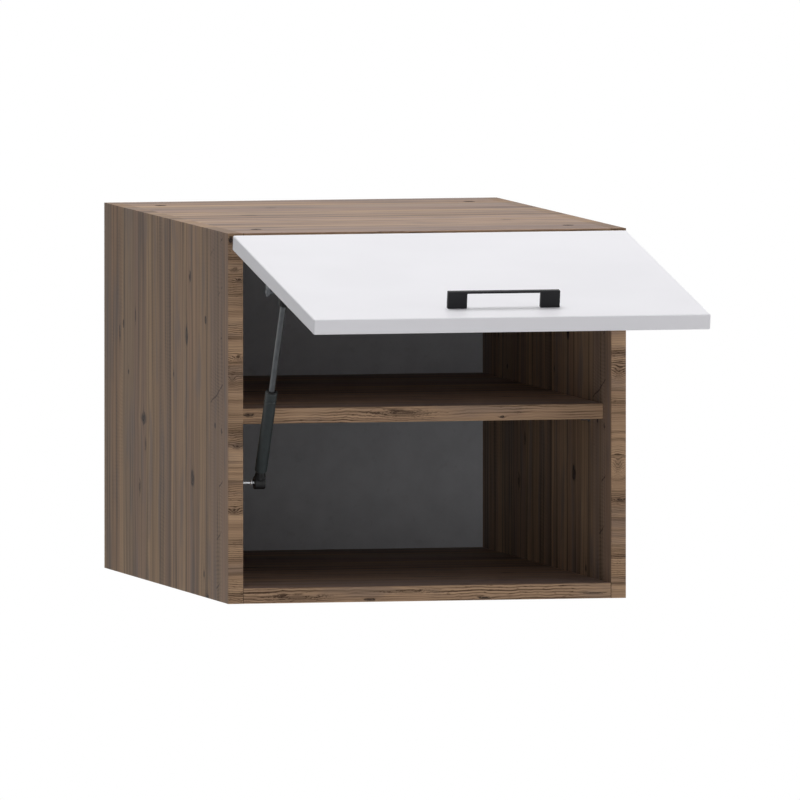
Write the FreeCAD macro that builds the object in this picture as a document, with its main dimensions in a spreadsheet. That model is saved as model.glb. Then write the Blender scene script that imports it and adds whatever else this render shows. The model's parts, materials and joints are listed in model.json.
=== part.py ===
import FreeCAD, Part
import os
import re
import Sketcher

# Driving sizes in millimetres and degrees
SIZES = {
    "carcass_width": 400,
    "carcass_height": 363,
    "carcass_depth": 552,
    "board": 15,
    "band": 1,
    "band_ease": 0.5,
    "back_sheet": 3,
    "rebate": 8,
    "slack": 0.5,
    "play": 0.1,
    "shelf_setback": 33,
    "shelf_pin_radius": 2.5,
    "shelf_pin_reach": 8,
    "shelf_pin_bore": 9,
    "shelf_pin_collar": 4,
    "collar_thickness": 1,
    "shelf_pin_front": 60,
    "shelf_pin_rear": 60,
    "cam_radius": 6.25,
    "cam_depth": 12,
    "cam_inset": 28,
    "cam_front": 65,
    "cam_rear": 63,
    "cam_slot": 1.6,
    "bolt_radius": 2.5,
    "bolt_bite": 11,
    "dowel_radius": 4,
    "dowel_bite": 10,
    "dowel_length": 30,
    "dowel_offset": 32,
    "nail_radius": 0.8,
    "nail_head": 2.2,
    "nail_length": 14,
    "nail_inset": 5,
    "bracket_plate": 2,
    "bracket_depth": 32,
    "bracket_width": 26,
    "bracket_height": 44,
    "bracket_drop": 12,
    "bracket_corner": 5,
    "wall_hole_radius": 4,
    "bracket_screw_radius": 2,
    "bracket_screw_length": 11,
    "screw_head_height": 1.6,
    "screw_recess": 0.9,
    "recess_width": 0.8,
    "door_width": 395,
    "door_height": 358,
    "door_thickness": 15,
    "door_gap": 1.5,
    "door_reveal": 2.5,
    "door_ease": 0.8,
    "open_angle": 80,
    "axis_out": 12.8,
    "axis_down": 5.5,
    "hinge_inset": 80,
    "cup_radius": 17.4,
    "cup_wall": 1.2,
    "cup_depth": 11.5,
    "cup_floor": 1,
    "cup_drop": 21.5,
    "cup_flange": 1,
    "cup_ear_height": 12,
    "cup_screw_half": 22.5,
    "cup_screw_drop": 31,
    "cup_screw_radius": 1.75,
    "cup_screw_length": 11,
    "cup_pin_drop": 10.3,
    "cup_pin_depth": 3.5,
    "hinge_pin_radius": 1,
    "link_reach": 24,
    "link_width": 6,
    "link_slot": 1.8,
    "link_prong": 0.6,
    "link_travel": 4.5,
    "link_eye": 1.9,
    "arm_width": 10,
    "arm_height": 9,
    "arm_tail": 60,
    "arm_screw_setback": 44,
    "plate_length": 44,
    "plate_setback": 16,
    "plate_height": 4,
    "plate_width": 14,
    "wing_length": 14,
    "wing_height": 2,
    "wing_screw_half": 16,
    "wing_setback": 37,
    "plate_screw_radius": 2.5,
    "plate_screw_length": 12,
    "handle_width": 111.5,
    "handle_leg": 19,
    "handle_standoff": 16.7,
    "handle_bar": 2.2,
    "handle_depth": 6.5,
    "handle_rise": 38,
    "handle_ease": 0.7,
    "handle_spacing": 96,
    "handle_screw_radius": 2,
    "handle_screw_bite": 9,
    "strut_side": 35.5,
    "lower_setback": 19.6,
    "lower_drop": 245.6,
    "upper_drop": 91.4,
    "upper_standoff": 20.4,
    "ball_radius": 4,
    "ball_flat": 1.7,
    "stud_shank": 2,
    "stud_thread": 2.5,
    "stud_flange": 5,
    "stud_bite": 11,
    "socket_radius": 6.5,
    "socket_width": 11,
    "socket_neck": 5.2,
    "socket_lower": 13.2,
    "socket_upper": 15.8,
    "socket_ease": 0.8,
    "cylinder_radius": 6,
    "cylinder_length": 93.7,
    "cylinder_wall": 1,
    "cylinder_end": 3,
    "cylinder_ease": 0.6,
    "bead_depth": 0.4,
    "bead_width": 1.6,
    "bead_drop": 9,
    "rod_radius": 3,
    "rod_inside": 14,
    "rod_thread": 2,
    "tube_thread": 2.4,
    "thread_length": 6,
    "rod_tail": 1.8,
    "piston_length": 4,
    "gland_length": 7,
    "gland_lip": 1,
    "running_gap": 0.3,
    "tab_thickness": 2,
    "tab_clearance": 2,
    "tab_height": 18,
    "tab_round": 4.5,
    "foot_width": 23,
    "foot_height": 24,
    "foot_thickness": 2,
    "foot_screw_half": 7,
    "foot_screw_side": 15,
}

# Positions worked out from the driving sizes, closed door first and then the open one
DERIVED = {
    "half_width": "carcass_width / 2",
    "inner_x": "half_width - board",
    "top_z": "carcass_height / 2",
    "front_y": "0 - carcass_depth",
    "panel_depth": "carcass_depth - band",
    "ceiling_z": "top_z - board",
    "axis_y": "front_y - axis_out",
    "axis_z": "top_z - axis_down",
    "door_back_y": "front_y - door_gap",
    "door_front_y": "door_back_y - door_thickness",
    "door_top_z": "top_z - door_reveal",
    "door_low_z": "door_top_z - door_height",
    "handle_z": "door_low_z + handle_rise",
    "cup_z": "door_top_z - cup_drop",
    "cup_inner": "cup_radius - cup_wall",
    "hinge_x": "half_width - hinge_inset",
    "pin_y": "door_back_y - cup_pin_depth",
    "pin_z": "door_top_z - cup_pin_drop",
    "pin_turn": "atan2(axis_y - pin_y; axis_z - pin_z) / (1 deg)",
    "pivot_turn": "open_angle / 2 + pin_turn",
    "pivot_y": "axis_y - link_reach * sin(pivot_turn)",
    "pivot_z": "axis_z - link_reach * cos(pivot_turn)",
    "pin_open_y": "axis_y + (pin_y - axis_y) * cos(open_angle) + (pin_z - axis_z) * sin(open_angle)",
    "pin_open_z": "axis_z - (pin_y - axis_y) * sin(open_angle) + (pin_z - axis_z) * cos(open_angle)",
    "link_length": "sqrt(pow(pin_open_y - pivot_y; 2) + pow(pin_open_z - pivot_z; 2))",
    "link_turn": "atan2(pivot_y - pin_open_y; pin_open_z - pivot_z)",
    "link_half": "link_slot + link_prong",
    "fork_root": "link_length - link_travel",
    "fork_tip": "link_length + hinge_pin_radius / 2",
    "plate_z": "ceiling_z - plate_height",
    "strut_x": "strut_side - half_width",
    "lower_y": "front_y + lower_setback",
    "lower_z": "top_z - lower_drop",
    "upper_y": "door_back_y + upper_standoff",
    "upper_z": "door_top_z - upper_drop",
    "upper_open_y": "axis_y + (upper_y - axis_y) * cos(open_angle) + (upper_z - axis_z) * sin(open_angle)",
    "upper_open_z": "axis_z - (upper_y - axis_y) * sin(open_angle) + (upper_z - axis_z) * cos(open_angle)",
    "strut_length": "sqrt(pow(upper_open_y - lower_y; 2) + pow(upper_open_z - lower_z; 2))",
    "strut_turn": "atan2(lower_y - upper_open_y; upper_open_z - lower_z)",
    "cylinder_top": "socket_lower + cylinder_length",
    "cylinder_bore": "cylinder_radius - cylinder_wall",
    "rod_top": "strut_length - socket_upper",
    "rod_low": "cylinder_top - rod_inside",
    "tab_x": "tab_clearance - inner_x",
}

doc = FreeCAD.newDocument("wall_cabinet")
sheet = doc.addObject("Spreadsheet::Sheet", "Sizes")
for row, (word, number) in enumerate(SIZES.items(), 1):
    sheet.set(f"A{row}", word)
    sheet.set(f"B{row}", str(number))
    sheet.setAlias(f"B{row}", word)
doc.recompute()


def formula(text):
    """Writes size names as sheet cells and derived names as their own formulas."""
    def known(match):
        word = match.group()
        if word in SIZES:
            return "Sizes." + word
        if word in DERIVED:
            return "(" + formula(DERIVED[word]) + ")"
        return word
    return re.sub(r"[A-Za-z_]\w*", known, str(text))


def value(text):
    """Gives the present number of a formula."""
    number = sheet.evalExpression(formula(text))
    return float(getattr(number, "Value", number))


def bind(thing, **formulas):
    """Binds properties of an object to formulas of the sheet."""
    for prop, text in formulas.items():
        thing.setExpression(prop.replace("__", "."), formula(text))
    return thing


def place(thing, at, turn="0"):
    """Sets an object at a point, turned about the left-right direction."""
    x, y, z = at
    text = f"placement(vector({x}; {y}; {z}); rotation(vector(1; 0; 0); {turn}))"
    return bind(thing, Placement=text)


def swing(thing):
    """Turns a piece modelled on the closed door to the open door."""
    text = ("placement(vector(0; 0; 0); rotation(vector(1; 0; 0); 0 - open_angle); "
            "vector(0; axis_y; axis_z))")
    return bind(thing, Placement=text)


def block(size, low, name="Block"):
    """A box given by its three sizes and its lowest corner."""
    box = doc.addObject("Part::Box", name)
    bind(box, Length=size[0], Width=size[1], Height=size[2])
    return place(box, low)


AIM = {"x": ("0; 1; 0", 90), "y": ("1; 0; 0", -90), "z": ("0; 0; 1", 0)}
SMALL_SIDES = 8
NAIL_SIDES = 6
CAM_SIDES = 12
TURNED_SIDES = 16
EYE_SIDES = 24
CUP_SIDES = 28


def aimed(bar, start, along):
    """Sets an upright bar at a point, laid along one axis."""
    axis, angle = AIM[along]
    x, y, z = start
    text = f"placement(vector({x}; {y}; {z}); rotation(vector({axis}); {angle}))"
    return bind(bar, Placement=text)


def round_bar(radius, length, start, along="z", name="Bar"):
    """A round bar that starts at a point and runs along one axis."""
    bar = doc.addObject("Part::Cylinder", name)
    bind(bar, Radius=radius, Height=length)
    return aimed(bar, start, along)


def small_bar(radius, length, start, along="z", name="Peg", sides=SMALL_SIDES):
    """A many-sided bar for small repeated pieces and the bores that hold them."""
    bar = doc.addObject("Part::Prism", name)
    bar.Polygon = sides
    bind(bar, Circumradius=radius, Height=length)
    return aimed(bar, start, along)


def clear_bore(radius, length, start, along="z"):
    """A many-sided bore whose flats clear a round bar of a given radius."""
    flats = f"({radius}) / cos({180 / TURNED_SIDES})"
    return small_bar(flats, length, start, along, "Bore", TURNED_SIDES)


def joined(pieces, name="Joined"):
    """Fuses pieces into one solid."""
    fuse = doc.addObject("Part::MultiFuse", name)
    fuse.Shapes = pieces
    fuse.Refine = True
    return fuse


def cut(base, tools, name="Cut"):
    """Takes tools out of a base piece."""
    result = doc.addObject("Part::Cut", name)
    result.Base = base
    result.Tool = tools[0] if len(tools) == 1 else joined(tools, name + "_tools")
    return result


def group(pieces, name):
    """Keeps identical separate pieces together under one name."""
    compound = doc.addObject("Part::Compound", name)
    compound.Links = pieces
    return compound


def eased(base, amount, chosen, name="Eased"):
    """Chamfers the edges of a piece whose middle point is chosen."""
    doc.recompute()
    edges = base.Shape.Edges
    result = doc.addObject("Part::Chamfer", name)
    result.Base = base
    size = value(amount)
    result.Edges = [(i + 1, size, size) for i, edge in enumerate(edges) if chosen(edge.CenterOfMass)]
    return result


def plane_of(body, role):
    """Finds one of the origin planes of a body."""
    return next(f for f in body.Origin.OriginFeatures if f.Role == role)


def outline(body, role, points, name):
    """Draws a closed outline of straight lines whose corners are bound to formulas."""
    sketch = body.newObject("Sketcher::SketchObject", name)
    sketch.AttachmentSupport = [(plane_of(body, role), "")]
    sketch.MapMode = "FlatFace"
    spots = [FreeCAD.Vector(value(u), value(v), 0) for u, v in points]
    count = len(spots)
    for i in range(count):
        sketch.addGeometry(Part.LineSegment(spots[i], spots[(i + 1) % count]), False)
    for i in range(count):
        sketch.addConstraint(Sketcher.Constraint("Coincident", i, 2, (i + 1) % count, 1))
    for i, (u, v) in enumerate(points):
        for kind, text, number, axis in (("DistanceX", u, spots[i].x, -2), ("DistanceY", v, spots[i].y, -1)):
            if text == "0":
                sketch.addConstraint(Sketcher.Constraint("PointOnObject", i, 1, axis))
                continue
            at = sketch.addConstraint(Sketcher.Constraint(kind, -1, 1, i, 1, number))
            sketch.setExpression(f"Constraints[{at}]", formula(text))
    return sketch


def padded(role, points, length, name, both=False):
    """A body made by giving an outline a thickness."""
    body = doc.addObject("PartDesign::Body", name)
    sketch = outline(body, role, points, name + "_outline")
    pad = body.newObject("PartDesign::Pad", name + "_pad")
    pad.Profile = sketch
    pad.SideType = "Symmetric" if both else "One side"
    bind(pad, Length=length)
    sketch.Visibility = False
    body.Tip = pad
    return body


def turned(points, name):
    """A body of revolution about the upright axis from half of its section."""
    body = doc.addObject("PartDesign::Body", name)
    sketch = outline(body, "XZ_Plane", points, name + "_section")
    turn = body.newObject("PartDesign::Revolution", name + "_turn")
    turn.Profile = sketch
    turn.ReferenceAxis = (sketch, ["V_Axis"])
    turn.Angle = 360
    body.Tip = turn
    return body


def shifted(point, along, amount):
    """The same point moved by a formula along one axis."""
    return tuple(f"{text} + ({amount})" if axis == along else text for axis, text in zip("xyz", point))


def screw(radius, length, head_radius, head, along, sign, name="Screw"):
    """A cross-head screw whose head bears on the point head and whose shank runs on from it."""
    behind = shifted(head, along, "0 - screw_head_height")
    shank = small_bar(radius, length, head if sign > 0 else shifted(head, along, f"0 - ({length})"), along)
    cap = small_bar(head_radius, "screw_head_height", behind if sign > 0 else head, along)
    face = "0 - screw_head_height" if sign > 0 else "screw_head_height - screw_recess"
    long_arm = f"({head_radius}) * 1.2"
    recess = []
    for pair in (("recess_width", long_arm), (long_arm, "recess_width")):
        across = dict(zip((axis for axis in "xyz" if axis != along), pair))
        low = shifted(head, along, face)
        for axis, width in across.items():
            low = shifted(low, axis, f"0 - {width} / 2")
        size = [across.get(axis, "screw_recess") for axis in "xyz"]
        recess.append(block(size, low))
    return cut(joined([shank, cap]), recess, name)


# Corner joints: places along the depth of cams and dowels, then both sides, top and bottom
cam_rows = ["front_y + cam_front", "0 - cam_rear"]
dowel_rows = ["front_y + cam_front + dowel_offset", "0 - cam_rear - dowel_offset"]
mid_z = {"top": "top_z - board / 2", "bottom": "board / 2 - top_z"}
cams = []
bolts = []
dowels = []
cam_bores = {"top": [], "bottom": []}
side_bores = {-1: [], 1: []}
for level, z in mid_z.items():
    for hand in (-1, 1):
        cam_x = f"({hand}) * (inner_x - cam_inset)"
        bolt_x = "0 - inner_x - bolt_bite" if hand < 0 else "inner_x - cam_inset + cam_radius / 2"
        bolt_length = "bolt_bite + cam_inset - cam_radius / 2"
        dowel_x = "0 - inner_x - dowel_bite" if hand < 0 else "inner_x + dowel_bite - dowel_length"
        for y in cam_rows:
            low = "top_z - cam_depth" if level == "top" else "0 - top_z"
            slot_z = "top_z - cam_slot" if level == "top" else "0 - top_z"
            drum = small_bar("cam_radius", "cam_depth", (cam_x, y, low), sides=CAM_SIDES)
            notch = block(("cam_radius * 1.2", "cam_slot", "cam_slot"),
                          (f"{cam_x} - cam_radius * 0.6", f"{y} - cam_slot / 2", slot_z))
            cross = block(("cam_slot", "cam_radius * 1.2", "cam_slot"),
                          (f"{cam_x} - cam_slot / 2", f"{y} - cam_radius * 0.6", slot_z))
            throat = small_bar("bolt_radius + play", bolt_length, (bolt_x, y, z), "x")
            cams.append(cut(drum, [notch, cross, throat], "Cam"))
            bolts.append(small_bar("bolt_radius", bolt_length, (bolt_x, y, z), "x", "Bolt"))
            bore_start = (f"{bolt_x} - play / 2", y, z)
            bore = small_bar("bolt_radius + play", f"{bolt_length} + play", bore_start, "x")
            side_bores[hand].append(bore)
            pocket_low = "top_z - cam_depth - play" if level == "top" else "0 - top_z - play"
            pocket = small_bar("cam_radius + play", "cam_depth + play * 2", (cam_x, y, pocket_low),
                               sides=CAM_SIDES)
            cam_bores[level] += [bore, pocket]
        for y in dowel_rows:
            dowels.append(small_bar("dowel_radius", "dowel_length", (dowel_x, y, z), "x", "Dowel"))
            bore_start = (f"{dowel_x} - play", y, z)
            bore = small_bar("dowel_radius + play", "dowel_length + play * 2", bore_start, "x")
            cam_bores[level].append(bore)
            side_bores[hand].append(bore)

# Shelf pins in the sides, under the shelf
shelf_low = "0 - board / 2"
shelf_pins = []
for hand in (-1, 1):
    for y in ("front_y + shelf_setback + shelf_pin_front", "0 - back_sheet - shelf_pin_rear"):
        x = "0 - inner_x - shelf_pin_bore" if hand < 0 else "inner_x - shelf_pin_reach"
        z = f"{shelf_low} - shelf_pin_radius"
        peg_length = "shelf_pin_bore + shelf_pin_reach"
        peg = small_bar("shelf_pin_radius", peg_length, (x, y, z), "x")
        collar_x = "0 - inner_x" if hand < 0 else "inner_x - collar_thickness"
        collar = small_bar("shelf_pin_collar", "collar_thickness", (collar_x, y, z), "x")
        above = block(("collar_thickness", "shelf_pin_collar * 2", "shelf_pin_collar"),
                      (collar_x, f"{y} - shelf_pin_collar", shelf_low))
        shelf_pins.append(cut(joined([peg, collar]), [above], "Pin"))
        hole_x = f"{x} - play" if hand < 0 else x
        hole = small_bar("shelf_pin_radius + play", f"{peg_length} + play", (hole_x, y, z), "x")
        side_bores[hand].append(hole)

# Side stud of the strut: a screw-in stud with a flange, a thin shank and a ball of short flats
stud_seat = ("0 - inner_x", "lower_y", "lower_z")
stud_reach = "strut_side - board"
stud_deep = shifted(stud_seat, "x", "0 - stud_bite")
stud_thread = small_bar("stud_thread", "stud_bite", stud_deep, "x")
stud_flange = small_bar("stud_flange", "stud_shank", stud_seat, "x", sides=TURNED_SIDES)
stud_shank = round_bar("stud_shank", stud_reach, stud_seat, "x")
ball_low = shifted(stud_seat, "x", f"{stud_reach} - ball_radius")
ball_bar = small_bar("ball_radius", "ball_radius * 2", ball_low, "x", sides=TURNED_SIDES)
ball_x = value(f"{stud_reach} - inner_x")
ball_end = value("ball_radius") / 2
stud_ball = eased(ball_bar, "ball_flat", lambda middle: abs(middle.x - ball_x) > ball_end)
side_stud = joined([stud_thread, stud_flange, stud_shank, stud_ball], "strut_side_stud")
bore_start = shifted(stud_deep, "x", "0 - play")
side_bores[-1].append(small_bar("stud_thread + play", "stud_bite + play", bore_start, "x"))

# Hanging brackets in the upper rear corners with their screws
bracket_top = "ceiling_z - bracket_drop"
brackets = {}
bracket_screws = []
wall_holes = []
for hand, word in ((-1, "left"), (1, "right")):
    low_z = f"{bracket_top} - bracket_height"
    mid = f"{bracket_top} - bracket_height / 2"
    rear_y = "0 - back_sheet"
    angle_points = [
        (f"({hand}) * inner_x", rear_y),
        (f"({hand}) * inner_x", f"{rear_y} - bracket_depth"),
        (f"({hand}) * (inner_x - bracket_plate)", f"{rear_y} - bracket_depth"),
        (f"({hand}) * (inner_x - bracket_plate)", f"{rear_y} - bracket_plate * 2"),
        (f"({hand}) * (inner_x - bracket_plate * 2)", f"{rear_y} - bracket_plate"),
        (f"({hand}) * (inner_x - bracket_width)", f"{rear_y} - bracket_plate"),
        (f"({hand}) * (inner_x - bracket_width)", rear_y),
    ]
    angle_body = padded("XY_Plane", angle_points, "bracket_height", f"Angle_{word}")
    doc.recompute()
    angle_pad = angle_body.Tip
    tips = []
    for number, edge in enumerate(angle_pad.Shape.Edges, 1):
        middle = edge.CenterOfMass
        thin = abs(edge.Length - value("bracket_plate")) < 0.01
        reach = abs(abs(middle.x) - value("inner_x - bracket_width")) < 0.01
        if thin and (reach or abs(middle.y - value(f"{rear_y} - bracket_depth")) < 0.01):
            tips.append(f"Edge{number}")
    corner = angle_body.newObject("PartDesign::Chamfer", f"Angle_corners_{word}")
    corner.Base = (angle_pad, tips)
    bind(corner, Size="bracket_corner")
    angle_body.Tip = corner
    angle = place(angle_body, ("0", "0", low_z))
    hole_x = f"({hand}) * (inner_x - bracket_width / 2 - bracket_plate / 2)"
    hole_start = (hole_x, "0 - back_sheet - bracket_plate * 2", mid)
    hole = round_bar("wall_hole_radius", "bracket_plate * 3", hole_start, "y")
    sheet_start = (hole_x, "0 - back_sheet * 2", mid)
    wall_holes.append(clear_bore("wall_hole_radius + slack", "back_sheet * 3", sheet_start, "y"))
    screw_holes = []
    for step in (-1, 1):
        y = "0 - back_sheet - bracket_depth * 0.62"
        z = f"{mid} + ({step}) * bracket_height * 0.3"
        x = f"({hand}) * (inner_x - bracket_plate)"
        head_radius = "bracket_screw_radius * 1.9"
        bracket_screws.append(
            screw("bracket_screw_radius", "bracket_screw_length", head_radius, (x, y, z), "x", hand))
        start = f"({hand}) * inner_x - bracket_screw_length"
        tool = small_bar("bracket_screw_radius + play", "bracket_screw_length * 2", (start, y, z), "x")
        screw_holes.append(tool)
        deep = "bracket_screw_length - bracket_plate + play"
        bore_x = f"0 - inner_x - ({deep})" if hand < 0 else "inner_x"
        side_bores[hand].append(small_bar("bracket_screw_radius + play", deep, (bore_x, y, z), "x"))
    brackets[word] = cut(angle, [hole] + screw_holes, f"hanging_bracket_{word}")

# Side panels with a rear rebate for the back sheet
rebate_high = "carcass_height - board * 2 + rebate * 2"
sides = {}
for hand, word in ((-1, "left"), (1, "right")):
    low_x = "0 - half_width" if hand < 0 else "inner_x"
    panel = block(("board", "panel_depth", "carcass_height"), (low_x, "0 - panel_depth", "0 - top_z"))
    step_x = "0 - inner_x - rebate" if hand < 0 else "inner_x"
    step = block(("rebate", "back_sheet", rebate_high), (step_x, "0 - back_sheet", "board - rebate - top_z"))
    sides[word] = cut(panel, [step] + side_bores[hand], f"side_panel_{word}")

# Hinge mounting plates under the top, their screws and the bores in the top
plates = {}
plate_screws = []
arm_screws = []
for hand, word in ((-1, "left"), (1, "right")):
    x = f"({hand}) * hinge_x"
    rail = block(("plate_width", "plate_length", "plate_height"),
                 (f"{x} - plate_width / 2", "front_y + plate_setback", "plate_z"))
    wing_mid = (x, "front_y + wing_setback", "ceiling_z - wing_height")
    wing_low = shifted(shifted(wing_mid, "x", "0 - wing_screw_half"), "y", "0 - wing_length / 2")
    wing = block(("wing_screw_half * 2", "wing_length", "wing_height"), wing_low)
    wing_ends = []
    holes = []
    for step in (-1, 1):
        at = shifted(wing_mid, "x", f"({step}) * wing_screw_half")
        wing_ends.append(small_bar("wing_length / 2", "wing_height", at, sides=TURNED_SIDES))
        plate_screws.append(
            screw("plate_screw_radius", "plate_screw_length", "plate_screw_radius * 1.6", at, "z", 1))
        bore = small_bar("plate_screw_radius + play", "plate_screw_length + play", at)
        holes.append(bore)
        cam_bores["top"].append(bore)
    arm_at = (x, "front_y + arm_screw_setback", "plate_z - arm_height")
    arm_screw = "arm_height + plate_height - wing_height / 2"
    arm_screws.append(screw("hinge_pin_radius * 2", arm_screw, "hinge_pin_radius * 3.4", arm_at, "z", 1))
    holes.append(small_bar("hinge_pin_radius * 2 + play", f"{arm_screw} + play", arm_at))
    plates[word] = cut(joined([rail, wing] + wing_ends), holes, f"hinge_plate_{word}")

# Top and bottom panels between the sides
levels = {}
for level in ("top", "bottom"):
    low_z = "ceiling_z" if level == "top" else "0 - top_z"
    step_z = "ceiling_z" if level == "top" else "board - rebate - top_z"
    panel = block(("inner_x * 2", "panel_depth", "board"), ("0 - inner_x", "0 - panel_depth", low_z))
    step = block(("inner_x * 2", "back_sheet", "rebate"), ("0 - inner_x", "0 - back_sheet", step_z))
    levels[level] = cut(panel, [step] + cam_bores[level], f"{level}_panel")

# Back sheet with the two wall holes, and its nails
sheet_high = f"{rebate_high} - slack * 2"
sheet_wide = "inner_x * 2 + rebate * 2 - slack * 2"
sheet_block = block((sheet_wide, "back_sheet", sheet_high),
                    (f"0 - ({sheet_wide}) / 2", "0 - back_sheet", f"0 - ({sheet_high}) / 2"))
nails = []
nail_holes = []
nail_spots = [(f"({hand}) * (inner_x + rebate - nail_inset)", f"({part}) * carcass_height")
              for hand in (-1, 1) for part in (-0.3, 0, 0.3)]
nail_spots += [(f"({part}) * carcass_width", f"({hand}) * (top_z - board + rebate - nail_inset)")
               for hand in (-1, 1) for part in (-0.2, 0.2)]
for x, z in nail_spots:
    nail_deep = "nail_length + play"
    shank = small_bar("nail_radius", "nail_length", (x, "0 - nail_length", z), "y", sides=NAIL_SIDES)
    cap = small_bar("nail_head", "nail_radius", (x, "0 - nail_radius", z), "y", sides=NAIL_SIDES)
    nails.append(joined([shank, cap], "Nail"))
    nail_holes.append(small_bar("nail_radius + play", nail_deep, (x, f"0 - ({nail_deep})", z), "y",
                                sides=NAIL_SIDES))
    nail_holes.append(small_bar("nail_head + play", "nail_radius + play", (x, "0 - nail_radius", z), "y",
                                sides=NAIL_SIDES))
back = cut(sheet_block, wall_holes + nail_holes, "back_panel")
nailed = {"side_panel_left": sides["left"], "side_panel_right": sides["right"],
          "top_panel": levels["top"], "bottom_panel": levels["bottom"]}
for word, panel in list(nailed.items()):
    panel.Label = word + "_unnailed"
    nailed[word] = cut(panel, [group(nail_holes, word + "_nail_holes")], word + "_nailed")

# Shelf and the front edge bands, each eased along its outer edges
shelf_wide = "inner_x * 2 - slack * 2"
shelf_deep = "carcass_depth - shelf_setback - band - back_sheet - slack"
shelf_front = (f"0 - ({shelf_wide}) / 2", "front_y + shelf_setback", shelf_low)
shelf = block((shelf_wide, shelf_deep, "board"), shifted(shelf_front, "y", "band"), "shelf")
band_spots = {
    "left": (("board", "band", "carcass_height"), ("0 - half_width", "front_y", "0 - top_z")),
    "right": (("board", "band", "carcass_height"), ("inner_x", "front_y", "0 - top_z")),
    "top": (("inner_x * 2", "band", "board"), ("0 - inner_x", "front_y", "ceiling_z")),
    "bottom": (("inner_x * 2", "band", "board"), ("0 - inner_x", "front_y", "0 - top_z")),
    "shelf": ((shelf_wide, "band", "board"), shelf_front),
}
bands = {}
for word, (size, low) in band_spots.items():
    front = value(low[1])
    strip = block(size, low)
    upright = word in ("left", "right")

    def along_front(middle):
        """Picks the two long front edges of a strip."""
        if abs(middle.y - front) > 0.01:
            return False
        centred = middle.z if upright else middle.x
        return abs(centred) < 1

    bands[word] = eased(strip, "band_ease", along_front, f"edge_band_{word}")

# Hinge arms: a padded side outline, forked at the front for the link, with the fixing screw bored through
arms = {}
arm_pins = []
arm_points = [
    ("front_y + arm_tail", "plate_z"),
    ("front_y + 8", "plate_z"),
    ("pivot_y + 4", "pivot_z + link_eye + 1.4"),
    ("pivot_y - link_eye + 0.6", "pivot_z + link_eye"),
    ("pivot_y - link_eye", "pivot_z"),
    ("pivot_y - link_eye + 0.6", "pivot_z - link_eye"),
    ("pivot_y + 4", "pivot_z - link_eye - 0.6"),
    ("front_y + 16", "plate_z - arm_height"),
    ("front_y + arm_tail", "plate_z - arm_height"),
]
for hand, word in ((-1, "left"), (1, "right")):
    x = f"({hand}) * hinge_x"
    side = padded("YZ_Plane", arm_points, "arm_width", f"Arm_{word}", both=True)
    fork = block(("link_width + running_gap * 2", "30", "30"),
                 ("0 - link_width / 2 - running_gap", "pivot_y - 24", "pivot_z - 15"))
    hollow = block(("link_width", "arm_tail - 32", "arm_height - 2"),
                   ("0 - link_width / 2", "front_y + 20", "plate_z - arm_height + 2"))
    boss = small_bar("hinge_pin_radius * 2 + play", "arm_height + 2",
                     ("0", "front_y + arm_screw_setback", "plate_z - arm_height - 1"))
    eye = small_bar("hinge_pin_radius", "arm_width", ("0 - arm_width / 2", "pivot_y", "pivot_z"), "x")
    arms[word] = place(cut(side, [fork, hollow, boss, eye], f"hinge_arm_{word}"), (x, "0", "0"))
    pin_start = (f"{x} - arm_width / 2", "pivot_y", "pivot_z")
    arm_pins.append(small_bar("hinge_pin_radius", "arm_width", pin_start, "x", "Arm_pin"))

# Hinge links: round at the arm pin, an open fork at the cup pin
links = {}
link_points = [
    ("link_eye", "0"),
    ("link_eye", "link_length * 0.3"),
    ("link_half", "fork_root - link_half"),
    ("link_half", "fork_tip"),
    ("link_slot", "fork_tip"),
    ("link_slot", "fork_root"),
    ("link_slot / 2", "fork_root - link_slot / 2"),
    ("0 - link_slot / 2", "fork_root - link_slot / 2"),
    ("0 - link_slot", "fork_root"),
    ("0 - link_slot", "fork_tip"),
    ("0 - link_half", "fork_tip"),
    ("0 - link_half", "fork_root - link_half"),
    ("0 - link_eye", "link_length * 0.3"),
    ("0 - link_eye", "0"),
]
for hand, word in ((-1, "left"), (1, "right")):
    plate = padded("YZ_Plane", link_points, "link_width", f"Link_{word}", both=True)
    round_end = round_bar("link_eye", "link_width", ("0 - link_width / 2", "0", "0"), "x")
    eye = round_bar("hinge_pin_radius + play", "link_width + 2", ("0 - link_width / 2 - 1", "0", "0"), "x")
    link = cut(joined([plate, round_end]), [eye], f"hinge_link_{word}")
    links[word] = place(link, (f"({hand}) * hinge_x", "pivot_y", "pivot_z"), "link_turn")

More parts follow.
